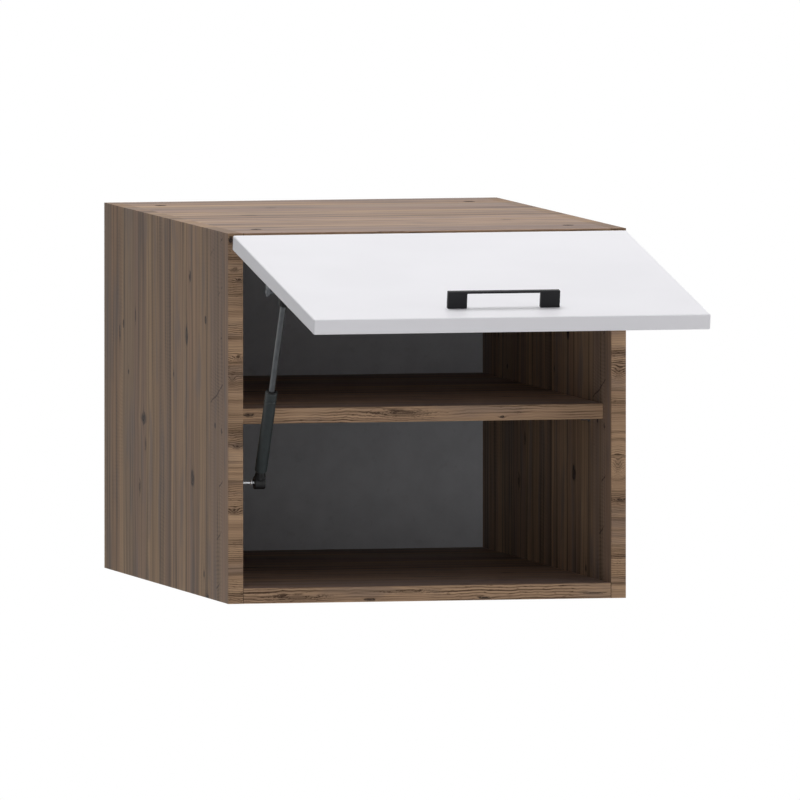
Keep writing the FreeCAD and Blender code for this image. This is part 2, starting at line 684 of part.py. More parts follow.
# Door-side hinge cups with ears, their cross pins and screws, modelled on the closed door
cups = {}
cup_pins = []
cup_screws = []
door_bores = []
for hand, word in ((-1, "left"), (1, "right")):
    x = f"({hand}) * hinge_x"
    cup_low = (x, "door_back_y - cup_depth", "cup_z")
    shell = small_bar("cup_radius", "cup_depth", cup_low, "y", sides=CUP_SIDES)
    cup_mouth = (x, "door_back_y", "cup_z")
    rim = small_bar("cup_radius + cup_flange", "cup_flange", cup_mouth, "y", sides=CUP_SIDES)
    ear_low = (f"{x} - cup_screw_half", "door_back_y", "door_top_z - cup_screw_drop - cup_ear_height / 2")
    ear = block(("cup_screw_half * 2", "cup_flange", "cup_ear_height"), ear_low)
    ear_mid = (x, "door_back_y", "door_top_z - cup_screw_drop")
    ear_spots = [shifted(ear_mid, "x", f"({step}) * cup_screw_half") for step in (-1, 1)]
    ear_ends = [small_bar("cup_ear_height / 2", "cup_flange", spot, "y", sides=TURNED_SIDES)
                for spot in ear_spots]
    inside = small_bar("cup_inner", "cup_depth + cup_flange", shifted(cup_low, "y", "cup_floor"), "y",
                       sides=CUP_SIDES)
    pin_half = "(sqrt(pow(cup_inner; 2) - pow(cup_drop - cup_pin_drop; 2)) + cup_wall / 2)"
    pin_start = (f"{x} - {pin_half}", "pin_y", "pin_z")
    pin_hole = small_bar("hinge_pin_radius", f"{pin_half} * 2", pin_start, "x")
    pin = small_bar("hinge_pin_radius", f"{pin_half} * 2", pin_start, "x")
    cup_pins.append(swing(group([pin], "Cup_pin")))
    bore_start = shifted(cup_low, "y", "0 - play")
    door_bores.append(small_bar("cup_radius + play", "cup_depth + play", bore_start, "y", sides=CUP_SIDES))
    holes = [inside, pin_hole]
    for spot in ear_spots:
        head = shifted(spot, "y", "cup_flange")
        head_radius = "cup_screw_radius * 1.8"
        cup_screws.append(swing(screw("cup_screw_radius", "cup_screw_length", head_radius, head, "y", -1)))
        bore_start = shifted(head, "y", "0 - cup_screw_length - play")
        bore = small_bar("cup_screw_radius + play", "cup_screw_length + cup_flange", bore_start, "y")
        holes.append(bore)
        door_bores.append(bore)
    cups[word] = swing(cut(joined([shell, rim, ear] + ear_ends), holes, f"hinge_cup_{word}"))

# Handle: a padded bridge outline with eased edges, bored for two screws from inside the door
half = "handle_width / 2"
tip_y = "door_front_y - handle_standoff"
handle_points = [
    (f"0 - {half}", "door_front_y"),
    (f"0 - {half}", tip_y),
    (half, tip_y),
    (half, "door_front_y"),
    (f"{half} - handle_leg", "door_front_y"),
    (f"{half} - handle_leg", f"{tip_y} + handle_bar"),
    (f"handle_leg - {half}", f"{tip_y} + handle_bar"),
    (f"handle_leg - {half}", "door_front_y"),
]
grip = padded("XY_Plane", handle_points, "handle_depth", "Grip")
doc.recompute()
grip_pad = grip.Tip
outer = []
for number, edge in enumerate(grip_pad.Shape.Edges, 1):
    middle = edge.CenterOfMass
    if middle.y < value(f"{tip_y} + handle_bar / 3"):
        outer.append(f"Edge{number}")
    elif abs(abs(middle.x) - value(half)) < 0.01 and middle.y < value("door_front_y") - 1:
        outer.append(f"Edge{number}")
grip_ease = grip.newObject("PartDesign::Chamfer", "Grip_ease")
grip_ease.Base = (grip_pad, outer)
bind(grip_ease, Size="handle_ease")
grip.Tip = grip_ease
place(grip, ("0", "0", "handle_z"))
handle_screws = []
handle_holes = []
for hand in (-1, 1):
    at = (f"({hand}) * handle_spacing / 2", "door_back_y", "handle_z + handle_depth / 2")
    length = "door_thickness + handle_screw_bite"
    head_radius = "handle_screw_radius * 1.9"
    handle_screws.append(swing(screw("handle_screw_radius", length, head_radius, at, "y", -1)))
    bore_start = shifted(at, "y", f"0 - ({length}) - play")
    bore = small_bar("handle_screw_radius + play", f"{length} + play", bore_start, "y")
    handle_holes.append(bore)
    door_bores.append(bore)
handle = swing(cut(grip, handle_holes, "handle"))

# Strut bracket on the door: a foot with two screws and an upright tab that carries the stud
foot_low = "upper_z - foot_height / 2"
foot = block(("foot_width", "foot_thickness", "foot_height"), ("tab_x", "door_back_y", foot_low))
tab_points = [
    ("door_back_y", "upper_z - tab_height / 2"),
    ("door_back_y + foot_thickness", "upper_z - tab_height / 2"),
    ("upper_y", "upper_z - tab_round"),
    ("upper_y", "upper_z + tab_round"),
    ("door_back_y + foot_thickness", "upper_z + tab_height / 2"),
    ("door_back_y", "upper_z + tab_height / 2"),
]
tab = place(padded("YZ_Plane", tab_points, "tab_thickness", "Tab"), ("tab_x", "0", "0"))
tab_end = small_bar("tab_round", "tab_thickness", ("tab_x", "upper_y", "upper_z"), "x", sides=TURNED_SIDES)
stud_hole = small_bar("stud_shank", "tab_thickness", ("tab_x", "upper_y", "upper_z"), "x", sides=TURNED_SIDES)
foot_holes = []
foot_screws = []
for step in (-1, 1):
    at = ("tab_x + foot_screw_side", "door_back_y + foot_thickness", f"upper_z + ({step}) * foot_screw_half")
    head_radius = "cup_screw_radius * 1.8"
    foot_screws.append(swing(screw("cup_screw_radius", "cup_screw_length", head_radius, at, "y", -1)))
    bore_start = shifted(at, "y", "0 - cup_screw_length - play")
    bore = small_bar("cup_screw_radius + play", "cup_screw_length + play", bore_start, "y")
    foot_holes.append(bore)
    door_bores.append(bore)
strut_bracket = swing(cut(joined([foot, tab, tab_end]), [stud_hole] + foot_holes, "strut_door_bracket"))
stud_end = "strut_x - socket_width / 2 - running_gap"
rivet_rounds = [
    ("stud_shank * 1.6", "0 - tab_clearance * 0.4", "0"),
    ("stud_shank", "0", "tab_thickness"),
    ("stud_shank * 1.7", "tab_thickness", "tab_thickness + stud_shank"),
    ("stud_shank", "tab_thickness + stud_shank", f"{stud_end} - tab_x"),
]
rivet_seat = ("tab_x", "upper_y", "upper_z")
rivet = [small_bar(radius, f"{high} - ({low})", shifted(rivet_seat, "x", low), "x", sides=TURNED_SIDES)
         for radius, low, high in rivet_rounds]
door_stud = swing(group([joined(rivet)], "strut_door_stud"))

# Door panel: a board with eased edges, bored for cups, screws and handle
door_body = doc.addObject("PartDesign::Body", "Door_board")
door_box = door_body.newObject("PartDesign::AdditiveBox", "Door_box")
bind(door_box, Length="door_width", Width="door_thickness", Height="door_height")
door_body.Tip = door_box
place(door_body, ("0 - door_width / 2", "door_front_y", "door_low_z"))
doc.recompute()
door_ease = door_body.newObject("PartDesign::Chamfer", "Door_ease")
door_ease.Base = (door_box, [f"Edge{i + 1}" for i in range(len(door_box.Shape.Edges))])
bind(door_ease, Size="door_ease")
door_body.Tip = door_ease
door = swing(cut(door_body, door_bores, "door_panel"))


def on_strut(thing):
    """Sets a strut piece on the lower ball, turned along the open strut."""
    return place(thing, ("strut_x", "lower_y", "lower_z"), "strut_turn")


def socket(name, centre, neck_low, neck_length, thread_low, thread_radius):
    """A moulded ball socket: an eye with a round seat, a narrower mouth to the stud and a threaded neck."""
    eye_start = ("0 - socket_width / 2", "0", centre)
    eye = small_bar("socket_radius", "socket_width", eye_start, "x", sides=EYE_SIDES)
    rounded = eased(eye, "socket_ease", lambda middle: abs(middle.x) > 1)
    neck = small_bar("socket_neck", neck_length, ("0", "0", neck_low), sides=TURNED_SIDES)
    seat_radius = "ball_radius + play"
    seat = clear_bore(seat_radius, f"({seat_radius}) * 2", (f"0 - ({seat_radius})", "0", centre), "x")
    mouth = clear_bore("stud_thread + slack", "socket_width", ("0 - socket_width", "0", centre), "x")
    thread = clear_bore(f"{thread_radius} + play", "thread_length + play * 2", ("0", "0", thread_low))
    return on_strut(cut(joined([rounded, neck]), [seat, mouth, thread], name))


# Gas strut along its own axis from the lower ball
lower_thread = "socket_lower - thread_length"
lower_socket = socket("strut_lower_socket", "0", "0", "socket_lower", f"{lower_thread} - play", "tube_thread")
upper_socket = socket("strut_upper_socket", "strut_length", "rod_top", "socket_upper",
                      "rod_top - play", "rod_thread")
tube_points = [
    ("0", lower_thread),
    ("tube_thread", lower_thread),
    ("tube_thread", "socket_lower"),
    ("cylinder_radius - cylinder_ease", "socket_lower"),
    ("cylinder_radius", "socket_lower + cylinder_ease"),
    ("cylinder_radius", "cylinder_top - bead_drop - bead_width"),
    ("cylinder_radius - bead_depth", "cylinder_top - bead_drop - bead_width / 2"),
    ("cylinder_radius", "cylinder_top - bead_drop"),
    ("cylinder_radius", "cylinder_top - cylinder_ease"),
    ("cylinder_radius - cylinder_ease", "cylinder_top"),
    ("cylinder_bore", "cylinder_top"),
    ("cylinder_bore", "socket_lower + cylinder_end"),
    ("0", "socket_lower + cylinder_end"),
]
rod_points = [
    ("0", "rod_low"),
    ("rod_tail", "rod_low"),
    ("rod_tail", "rod_low + piston_length"),
    ("rod_radius", "rod_low + piston_length"),
    ("rod_radius", "rod_top"),
    ("rod_thread", "rod_top"),
    ("rod_thread", "rod_top + thread_length"),
    ("0", "rod_top + thread_length"),
]
cylinder = on_strut(turned(tube_points, "strut_cylinder"))
gland_low = ("0", "0", "cylinder_top - gland_length")
gland_ring = small_bar("cylinder_bore", "gland_length + gland_lip", gland_low, sides=TURNED_SIDES)
gland_bore = clear_bore("rod_radius + play", "gland_length + gland_lip", gland_low)
gland = on_strut(cut(gland_ring, [gland_bore], "strut_gland"))
rod = on_strut(turned(rod_points, "strut_rod"))
piston_low = ("0", "0", "rod_low")
piston_ring = small_bar("cylinder_bore - running_gap", "piston_length", piston_low, sides=TURNED_SIDES)
piston = on_strut(cut(piston_ring, [clear_bore("rod_tail", "piston_length", piston_low)], "strut_piston"))

# Every node under its own name
nodes = dict(nailed)
nodes.update({f"edge_band_{word}": band for word, band in bands.items()})
nodes.update({f"hanging_bracket_{word}": piece for word, piece in brackets.items()})
for kind, pair in (("hinge_plate", plates), ("hinge_arm", arms), ("hinge_link", links), ("hinge_cup", cups)):
    nodes.update({f"{kind}_{word}": piece for word, piece in pair.items()})
sets = {
    "cam_locks": cams,
    "cam_bolts": bolts,
    "corner_dowels": dowels,
    "shelf_pins": shelf_pins,
    "back_panel_nails": nails,
    "hanging_bracket_screws": bracket_screws,
    "hinge_plate_screws": plate_screws,
    "hinge_arm_screws": arm_screws,
    "hinge_arm_pins": arm_pins,
    "hinge_cup_pins": cup_pins,
    "hinge_cup_screws": cup_screws,
    "handle_screws": handle_screws,
    "strut_bracket_screws": foot_screws,
}
nodes.update({name: group(pieces, name) for name, pieces in sets.items()})
nodes.update({
    "back_panel": back,
    "shelf": shelf,
    "strut_side_stud": side_stud,
    "door_panel": door,
    "handle": handle,
    "strut_door_bracket": strut_bracket,
    "strut_door_stud": door_stud,
    "strut_lower_socket": lower_socket,
    "strut_upper_socket": upper_socket,
    "strut_cylinder": cylinder,
    "strut_gland": gland,
    "strut_rod": rod,
    "strut_piston": piston,
})
doc.recompute()

# Checks of every object, then one file for each node
for thing in doc.Objects:
    if "Invalid" in thing.State or "Error" in thing.State:
        raise RuntimeError(f"{thing.Label} did not build: {thing.State}")
os.makedirs("parts", exist_ok=True)
for name, thing in nodes.items():
    thing.Label = name
    shape = thing.Shape
    if shape.isNull() or not shape.isValid() or not shape.Solids:
        raise RuntimeError(f"{name} has no sound solid")
    shape.exportStep(f"parts/{name}.step")
    print(name, len(shape.Solids), round(shape.Volume, 1))
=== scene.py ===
import json
import math

import bmesh
import bpy
from mathutils import Matrix, Vector


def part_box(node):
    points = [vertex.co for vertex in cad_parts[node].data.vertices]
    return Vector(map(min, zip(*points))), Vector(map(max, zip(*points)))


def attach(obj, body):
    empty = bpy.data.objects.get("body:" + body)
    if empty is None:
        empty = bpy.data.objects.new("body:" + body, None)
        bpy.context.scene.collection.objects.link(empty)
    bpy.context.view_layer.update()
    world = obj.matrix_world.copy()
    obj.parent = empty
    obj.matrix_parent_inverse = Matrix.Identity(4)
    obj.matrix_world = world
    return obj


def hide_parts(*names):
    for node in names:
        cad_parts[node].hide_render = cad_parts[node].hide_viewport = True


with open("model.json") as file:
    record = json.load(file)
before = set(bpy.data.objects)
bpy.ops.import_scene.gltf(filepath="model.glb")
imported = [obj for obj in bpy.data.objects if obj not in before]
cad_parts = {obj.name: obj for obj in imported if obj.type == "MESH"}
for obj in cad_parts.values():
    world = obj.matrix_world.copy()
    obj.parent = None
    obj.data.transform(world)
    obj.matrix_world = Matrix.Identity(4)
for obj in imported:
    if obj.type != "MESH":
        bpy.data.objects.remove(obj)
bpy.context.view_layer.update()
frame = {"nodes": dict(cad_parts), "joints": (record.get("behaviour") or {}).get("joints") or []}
scene = bpy.context.scene


# The two side panels: chipboard with a printed decor of narrow wood staves, grain upright.
# Both sides are cut from the same print, so staves and knots lie at the same places on each.
# The front is banded, while the rear edge shows the bare chips.
class Wire:
    """A socket of a node tree; sums, differences, products and quotients become Math nodes."""

    def __init__(self, tree, socket=None):
        self.tree = tree
        self.socket = socket

    def feed(self, target, value):
        """Sets a socket to a value, or links it to a wire or to several."""
        for each in value if isinstance(value, list) else [value]:
            if isinstance(each, Wire):
                self.tree.links.new(each.socket, target)
            else:
                target.default_value = each

    def step(self, ramp, stops):
        """Gives a ramp hard steps, each a position and a colour."""
        ramp.interpolation = "CONSTANT"
        ramp.elements.remove(ramp.elements[1])
        for number, (position, paint) in enumerate(stops):
            stop = ramp.elements.new(position) if number else ramp.elements[0]
            stop.position = position
            stop.color = paint

    def node(self, kind, settings=None, out=0, **inputs):
        """Adds a node of a kind with its settings, then the values or wires of its sockets."""
        made = self.tree.nodes.new(kind)
        for name, value in (settings or {}).items():
            if name == "stops":
                self.step(made.color_ramp, value)
            else:
                setattr(made, name, value)
        for name, value in inputs.items():
            words = (name, name.replace("_", " ").strip())
            target = next(s for s in made.inputs if s.identifier in words or s.name in words)
            self.feed(target, value)
        return Wire(self.tree, made.outputs[out] if made.outputs else None)

    def other(self, name):
        """Another output of the node that this wire comes from."""
        return Wire(self.tree, self.socket.node.outputs[name])

    def maths(self, operation, first, second=0.0):
        """One Math node on values or wires."""
        return self.node("ShaderNodeMath", {"operation": operation}, Value=first, Value_001=second)

    def __add__(self, other):
        return self.maths("ADD", self, other)

    def __radd__(self, other):
        return self.maths("ADD", other, self)

    def __sub__(self, other):
        return self.maths("SUBTRACT", self, other)

    def __rsub__(self, other):
        return self.maths("SUBTRACT", other, self)

    def __mul__(self, other):
        return self.maths("MULTIPLY", self, other)

    def __rmul__(self, other):
        return self.maths("MULTIPLY", other, self)

    def __truediv__(self, other):
        return self.maths("DIVIDE", self, other)

    def __rtruediv__(self, other):
        return self.maths("DIVIDE", other, self)

    def span(self, low, high):
        """Rises smoothly from 0 at low to 1 at high."""
        return self.node("ShaderNodeMapRange", {"interpolation_type": "SMOOTHSTEP"},
                         Value=self, From_Min=low, From_Max=high)

    def blend(self, first, second):
        """Mixes two colours, with this wire as the share of the second."""
        return self.node("ShaderNodeMix", {"data_type": "RGBA"}, 2,
                         Factor_Float=self, A_Color=first, B_Color=second)


def new_finish(name):
    """An empty material, a wire into its tree, its shader node and the place on the piece."""
    material = bpy.data.materials.new(name)
    material.use_nodes = True
    wire = Wire(material.node_tree)
    shader = material.node_tree.nodes["Principled BSDF"]
    return material, wire, shader, wire.node("ShaderNodeTexCoord").other("Object")


def colour(red, green, blue):
    """A colour as read on a screen, turned into the light values of a shader."""
    shares = [c / 255 for c in (red, green, blue)]
    light = [c / 12.92 if c <= 0.04045 else ((c + 0.055) / 1.055) ** 2.4 for c in shares]
    return (*light, 1.0)


def rubbed(wire, place, radius):
    """Wear: up to 1 along the edges of a piece, broken up by noise, and 0 on its flats."""
    eased = wire.node("ShaderNodeBevel", {"samples": 4}, Radius=radius)
    plain = wire.node("ShaderNodeNewGeometry").other("Normal")
    same = wire.node("ShaderNodeVectorMath", {"operation": "DOT_PRODUCT"}, Vector=eased, Vector_001=plain)
    uneven = wire.node("ShaderNodeTexNoise", Vector=place, Scale=0.25 / radius, Detail=3.0)
    return (1.0 - same.other("Value")).span(0.02, 0.25) * uneven.span(0.35, 0.65)


def toned(staves, cast, most_saw=1.0):
    """The same staves with their tones scaled by a cast, with saw marks no stronger than given."""
    return [(start, tuple(c * share for c, share in zip(tone, cast)), min(saw, most_saw))
            for start, tone, saw in staves]


def decor(name, along, across, staves, tints, knots, streaks, lined, rings, figure, seam=0.5):
    """Printed wood: staves of (start, tone, saw marks) side by side, grain along one axis.

    Knots are (along, across, half length, half width, depth). Streaks and rings are counted per metre
    across the grain; lined and figure say how strongly they show. A dark joint lies at seam, measured
    along x to either side of the middle.
    """
    material, wire, shader, place = new_finish(name)
    split = wire.node("ShaderNodeSeparateXYZ", Vector=place)
    axes = {axis: split.other(axis.upper()) for axis in "xyz"}
    u = axes[along]
    v = axes[across]

    def cloud(first, second, seed, detail=2.0):
        """Noise over two coordinates, about 0.5 on average."""
        spot = wire.node("ShaderNodeCombineXYZ", X=first, Y=second, Z=seed)
        return wire.node("ShaderNodeTexNoise", Vector=spot, Scale=1.0, Detail=detail, Roughness=0.6)

    # The grain drifts a little, and bends round each knot.
    drift = cloud(u * 3.0, v * 8.0, 0.3) - 0.5
    wobble = cloud(u * rings * 0.12, v * rings * 0.16, 19.0) - 0.5
    flow = v + drift * (0.9 / streaks) + wobble * (figure * 1.3 / rings)
    ragged = cloud(u * rings * 0.9, v * rings * 2.2, 2.1) - 0.5
    core = 0.0
    swell = 0.0
    for knot_u, knot_v, half_u, half_v, depth in knots:
        du = (u - knot_u) / half_u + ragged
        dv = (v - knot_v) / half_v + drift
        reach = du * du + dv * dv
        near = 1.0 / (1.0 + reach)
        flow = flow - (v - knot_v) * near * 0.6
        swell = swell + near * near
        whisker = du * du * 0.1 + dv * dv * 9.0 + ragged * 1.5
        spot = (reach + ragged * 2.0).span(1.1, 0.3) + whisker.span(1.0, 0.1) * 0.5
        core = core + spot * depth

    # A ramp with hard steps gives each stave its tone, and in its alpha how rough it was sawn.
    first = staves[0][0]
    last = staves[-1][0]
    stops = [((begin - first) / (last - first), (*colour(*paint)[:3], saw)) for begin, paint, saw in staves]
    tone = wire.node("ShaderNodeValToRGB", {"stops": stops}, Fac=(v - first) / (last - first))
    sawn = tone.other("Alpha")

    # Streaks, growth rings, saw marks and pores, each a noise or a wave along the grain.
    broad = cloud(u * 0.8, flow * streaks * 0.4, 4.0)
    streak = cloud(u * 1.5, flow * streaks, 7.0, 3.0)
    line = cloud(u * 4.0, flow * streaks * 4.0, 9.0, 3.0)
    fibre = cloud(u * 45.0, flow * 1500.0, 11.0)
    pore = cloud(u * 26.0, flow * 480.0, 13.0)
    patch = cloud(u * 9.0, v * 32.0, 15.0)
    stain = cloud(u * 8.0, flow * 42.0, 25.0, 3.0)
    wave = cloud(u * rings * 0.06, v * rings * 0.05, 17.0)
    ring = wire.maths("SINE", (flow * rings + swell * 2.0 + wave * 2.4) * math.tau)
    ripple = wire.maths("SINE", (u * 270.0 + wave * 9.0 + wobble * 2.0) * math.tau)
    slash = wire.maths("SINE", (u + v * 0.4 + wobble * 0.012) * 21.0 * math.tau)
    fleck = cloud(u * rings * 0.3, flow * rings * 1.9, 23.0)
    lines = streak.span(0.54, 0.34) * lined + line.span(0.5, 0.3) * (lined * 0.6)
    ringed = ring.span(-0.5, 1.0) * (0.3 + patch.span(0.42, 0.62) * 0.7) * figure
    flecks = fleck.span(0.58, 0.7) * patch.span(0.46, 0.62) * figure
    swirl = ring.span(0.2, 1.0) * swell.span(0.06, 0.4) * 0.35
    marks = ripple.span(-0.6, 1.0) * patch.span(0.35, 0.65) * fibre.span(0.3, 0.7) * sawn * 0.35
    marks = marks + slash.span(0.985, 1.0) * patch.span(0.5, 0.6) * sawn.span(0.7, 0.9) * 0.7
    pores = pore.span(0.67, 0.74) * 0.35 + fibre.span(0.6, 0.78) * 0.2
    knot_dark = wire.maths("MINIMUM", core, 1.0) * (0.75 + ring.span(-1.0, 1.0) * 0.25)

    # The print is laid up from the stave's tone to the knots, then come the seam, wear and bare chips.
    pale, slate, dark = [colour(*each) for each in tints]
    base = (broad.span(0.46, 0.66) * 0.7).blend(tone, pale)
    base = (stain.span(0.5, 0.68) * 0.65).blend(base, slate)
    base = (lines + ringed + flecks + swirl + marks).blend(base, dark)
    base = pores.blend(base, colour(72, 60, 52))
    base = (swell.span(0.25, 0.9) * 0.3).blend(base, dark)
    base = knot_dark.blend(base, colour(38, 34, 36))
    joint = wire.maths("ABSOLUTE", axes["x"]).span(seam - 0.0008, seam - 0.0002)
    base = (joint * 0.75).blend(base, colour(40, 32, 27))
    wear = rubbed(wire, place, 0.0012)
    base = (wear * 0.4).blend(base, pale)
    chip = cloud(axes["x"] * 330.0, axes["z"] * 330.0, 21.0, 4.0)
    chips = chip.span(0.35, 0.65).blend(colour(186, 156, 118), colour(142, 112, 80))
    bare = axes["y"].span(-0.0005, -0.0002)
    wire.feed(shader.inputs["Base Color"], bare.blend(base, chips))
    wire.feed(shader.inputs["Roughness"], 0.6 + fibre * 0.1 - lines * 0.06 + bare * 0.2 - wear * 0.08)
    shader.inputs["Specular IOR Level"].default_value = 0.08
    relief = line * 0.4 + fibre * 0.3 - pores - knot_dark - marks + bare * chip
    wire.feed(shader.inputs["Normal"],
              wire.node("ShaderNodeBump", Strength=0.2, Distance=0.0003, Height=relief))
    return material


def dress(finish, *names):
    """Gives CAD nodes a finish."""
    for name in names:
        frame["nodes"][name].material_slots[0].material = finish


board_staves = [
    (-0.5520, (156, 130, 111), 0.1),
    (-0.5294, (143, 122, 107), 1.0),
    (-0.4767, (160, 134, 110), 0.2),
    (-0.4190, (159, 132, 110), 0.0),
    (-0.3613, (160, 134, 112), 0.1),
    (-0.3011, (136, 114, 98), 0.65),
    (-0.2459, (160, 134, 109), 0.3),
    (-0.1907, (147, 123, 106), 0.1),
    (-0.1355, (152, 130, 109), 0.0),
    (-0.0838, (152, 125, 103), 0.6),
    (-0.0326, (136, 117, 101), 0.1),
]
board_tints = ((190, 161, 130), (128, 117, 113), (82, 67, 57))
side_knots = [
    (0.130, -0.383, 0.006, 0.006, 0.8),
    (0.071, -0.369, 0.011, 0.006, 0.9),
    (0.091, -0.452, 0.005, 0.0045, 0.9),
    (0.030, -0.310, 0.003, 0.003, 0.9),
    (0.066, -0.086, 0.005, 0.0035, 0.8),
    (0.056, -0.070, 0.010, 0.0035, 0.7),
    (0.020, -0.109, 0.003, 0.003, 0.9),
    (-0.022, -0.178, 0.007, 0.013, 0.7),
    (-0.069, -0.394, 0.008, 0.008, 0.9),
    (-0.010, -0.494, 0.0035, 0.0035, 0.8),
    (-0.014, -0.522, 0.003, 0.003, 0.8),
    (-0.159, -0.445, 0.004, 0.004, 0.9),
    (0.078, -0.141, 0.009, 0.003, 0.6),
    (-0.091, -0.160, 0.008, 0.008, 0.3),
    (-0.047, -0.186, 0.007, 0.006, 0.3),
    (-0.180, -0.459, 0.003, 0.008, 0.8),
]
side_staves = toned(board_staves, (1.04, 1.04, 1.04))
decor_side = decor("decor_side", "z", "y", side_staves, board_tints, side_knots,
                   streaks=80.0, lined=0.65, rings=120.0, figure=0.12)
dress(decor_side, "side_panel_left", "side_panel_right")


# Top, bottom and shelf: the same board with the grain from side to side.
# The top and bottom sit between the sides, and the loose shelf lies on four pins.
flat_knots = [
    (-0.110, -0.250, 0.010, 0.007, 0.3),
    (0.120, -0.380, 0.008, 0.006, 0.4),
    (-0.060, -0.130, 0.007, 0.005, 0.4),
]
# Their print is a lighter, bluer copy of the sides' print: painted sheen that greys the level boards as a
# grazing reflection would.
sheen_cast_flat_staves = toned(board_staves, (1.07, 1.1, 1.18), 0.3)
decor_flat = decor("decor_flat", "x", "y", sheen_cast_flat_staves, board_tints, flat_knots,
                   streaks=80.0, lined=0.55, rings=90.0, figure=0.1)
dress(decor_flat, "top_panel", "bottom_panel", "shelf")


# Front edge bands: thin plastic strip in a warmer, coarser print of the decor, glued on and eased.
# On the uprights the grain runs across the strip, on the level edges along it.
# The level bands end in a fine dark joint where they meet the uprights.
edge_tints = ((198, 165, 133), (140, 120, 106), (72, 54, 42))
upright_staves = [
    (-0.1815, (178, 146, 116), 0.1),
    (-0.1240, (170, 139, 111), 0.2),
    (-0.0620, (180, 148, 118), 0.1),
    (-0.0070, (166, 136, 109), 0.2),
    (0.0530, (178, 146, 117), 0.1),
    (0.1090, (170, 140, 113), 0.2),
]
level_staves = [
    (-0.1815, (176, 145, 117), 0.0),
    (-0.0500, (170, 140, 113), 0.0),
    (0.0500, (174, 143, 115), 0.0),
]
upright_knots = [
    (-0.1972, 0.1754, 0.003, 0.0035, 1.0),
    (-0.194, 0.146, 0.006, 0.0030, 0.2),
    (-0.189, 0.136, 0.004, 0.0024, 0.25),
    (-0.190, 0.060, 0.006, 0.0040, 0.1),
    (-0.196, 0.039, 0.004, 0.0050, 0.15),
    (-0.191, -0.028, 0.005, 0.0030, 0.25),
    (-0.194, -0.090, 0.005, 0.0040, 0.15),
    (0.1925, 0.041, 0.007, 0.0100, 0.1),
    (0.1920, -0.048, 0.006, 0.0120, 0.1),
    (0.1940, -0.085, 0.005, 0.0020, 0.3),
]
level_knots = [
    (-0.128, -0.176, 0.030, 0.0035, 0.1),
    (-0.058, -0.1795, 0.007, 0.0014, 0.7),
    (-0.020, -0.172, 0.026, 0.0030, 0.1),
    (0.058, -0.1790, 0.007, 0.0016, 0.7),
    (0.168, -0.1760, 0.012, 0.0012, 0.5),
    (-0.172, 0.001, 0.006, 0.0028, 0.6),
    (-0.016, 0.001, 0.034, 0.0045, 0.25),
    (0.083, -0.004, 0.003, 0.0015, 0.8),
]
band_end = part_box("edge_band_bottom")[1].x
edge_upright = decor("decor_edge_upright", "x", "z", upright_staves, edge_tints, upright_knots,
                     streaks=170.0, lined=0.45, rings=560.0, figure=0.7)
edge_level = decor("decor_edge_level", "x", "z", level_staves, edge_tints, level_knots,
                   streaks=300.0, lined=0.4, rings=380.0, figure=0.6, seam=band_end)
dress(edge_upright, "edge_band_left", "edge_band_right")
dress(edge_level, "edge_band_top", "edge_band_bottom", "edge_band_shelf")


# Back sheet: thin fibreboard with a plain grey printed face, nailed into a rebate.
# The print is a soft mottle of greys with small blots, like cast concrete.
back_finish, wire, shader, place = new_finish("back_sheet")
mottle = wire.node("ShaderNodeTexNoise", Vector=place, Scale=34.0, Detail=5.0, Roughness=0.62)
blot = wire.node("ShaderNodeTexNoise", Vector=place, Scale=110.0, Detail=3.0)
speck = wire.node("ShaderNodeTexNoise", Vector=place, Scale=900.0, Detail=2.0)
sheet_mix = (mottle * 0.8 + speck * 0.2).span(0.25, 0.75)
sheet_grey = sheet_mix.blend(colour(181, 184, 190), colour(192, 195, 201))
sheet_grey = (blot.span(0.62, 0.7) * 0.2).blend(sheet_grey, colour(160, 162, 166))
wear = rubbed(wire, place, 0.001)
wire.feed(shader.inputs["Base Color"], (wear * 0.6).blend(sheet_grey, colour(170, 152, 128)))
wire.feed(shader.inputs["Roughness"], 0.55 + speck * 0.15 + wear * 0.2)
wire.feed(shader.inputs["Normal"], wire.node("ShaderNodeBump", Strength=0.1, Distance=0.0002, Height=speck))
dress(back_finish, "back_panel")


# Corner joints: zinc cam drums let into top and bottom, steel bolts and fluted beech dowels.
# A cam shows as a dark disc with a cross slot, turned by a screwdriver to draw the bolt in.
# One node tree makes every driven fastener of the cabinet from its sizes.
def plated(name, tint, rough, grain, metal=1.0):
    """A plated metal whose tone and gloss vary a little over the surface."""
    material, wire, shader, place = new_finish(name)
    mottle = wire.node("ShaderNodeTexNoise", Vector=place, Scale=grain, Detail=3.0)
    scratch = wire.node("ShaderNodeTexNoise", Vector=place, Scale=grain * 9.0, Detail=2.0)
    bright = colour(*[min(255, c * 1.14) for c in tint])
    wear = rubbed(wire, place, 0.0006)
    base = (mottle * 0.7 + scratch * 0.3).span(0.3, 0.7).blend(colour(*tint), bright)
    wire.feed(shader.inputs["Base Color"], (wear * 0.5).blend(base, bright))
    wire.feed(shader.inputs["Roughness"], rough + mottle * 0.12 + scratch * 0.06 - wear * 0.08)
    wire.feed(shader.inputs["Normal"],
              wire.node("ShaderNodeBump", Strength=0.06, Distance=0.0001, Height=scratch))
    shader.inputs["Metallic"].default_value = metal
    return material


FASTENER_SIZES = ("Head Radius", "Head Height", "Crown", "Shank Radius", "Shank Length",
                  "Recess Span", "Recess Width", "Recess Depth")


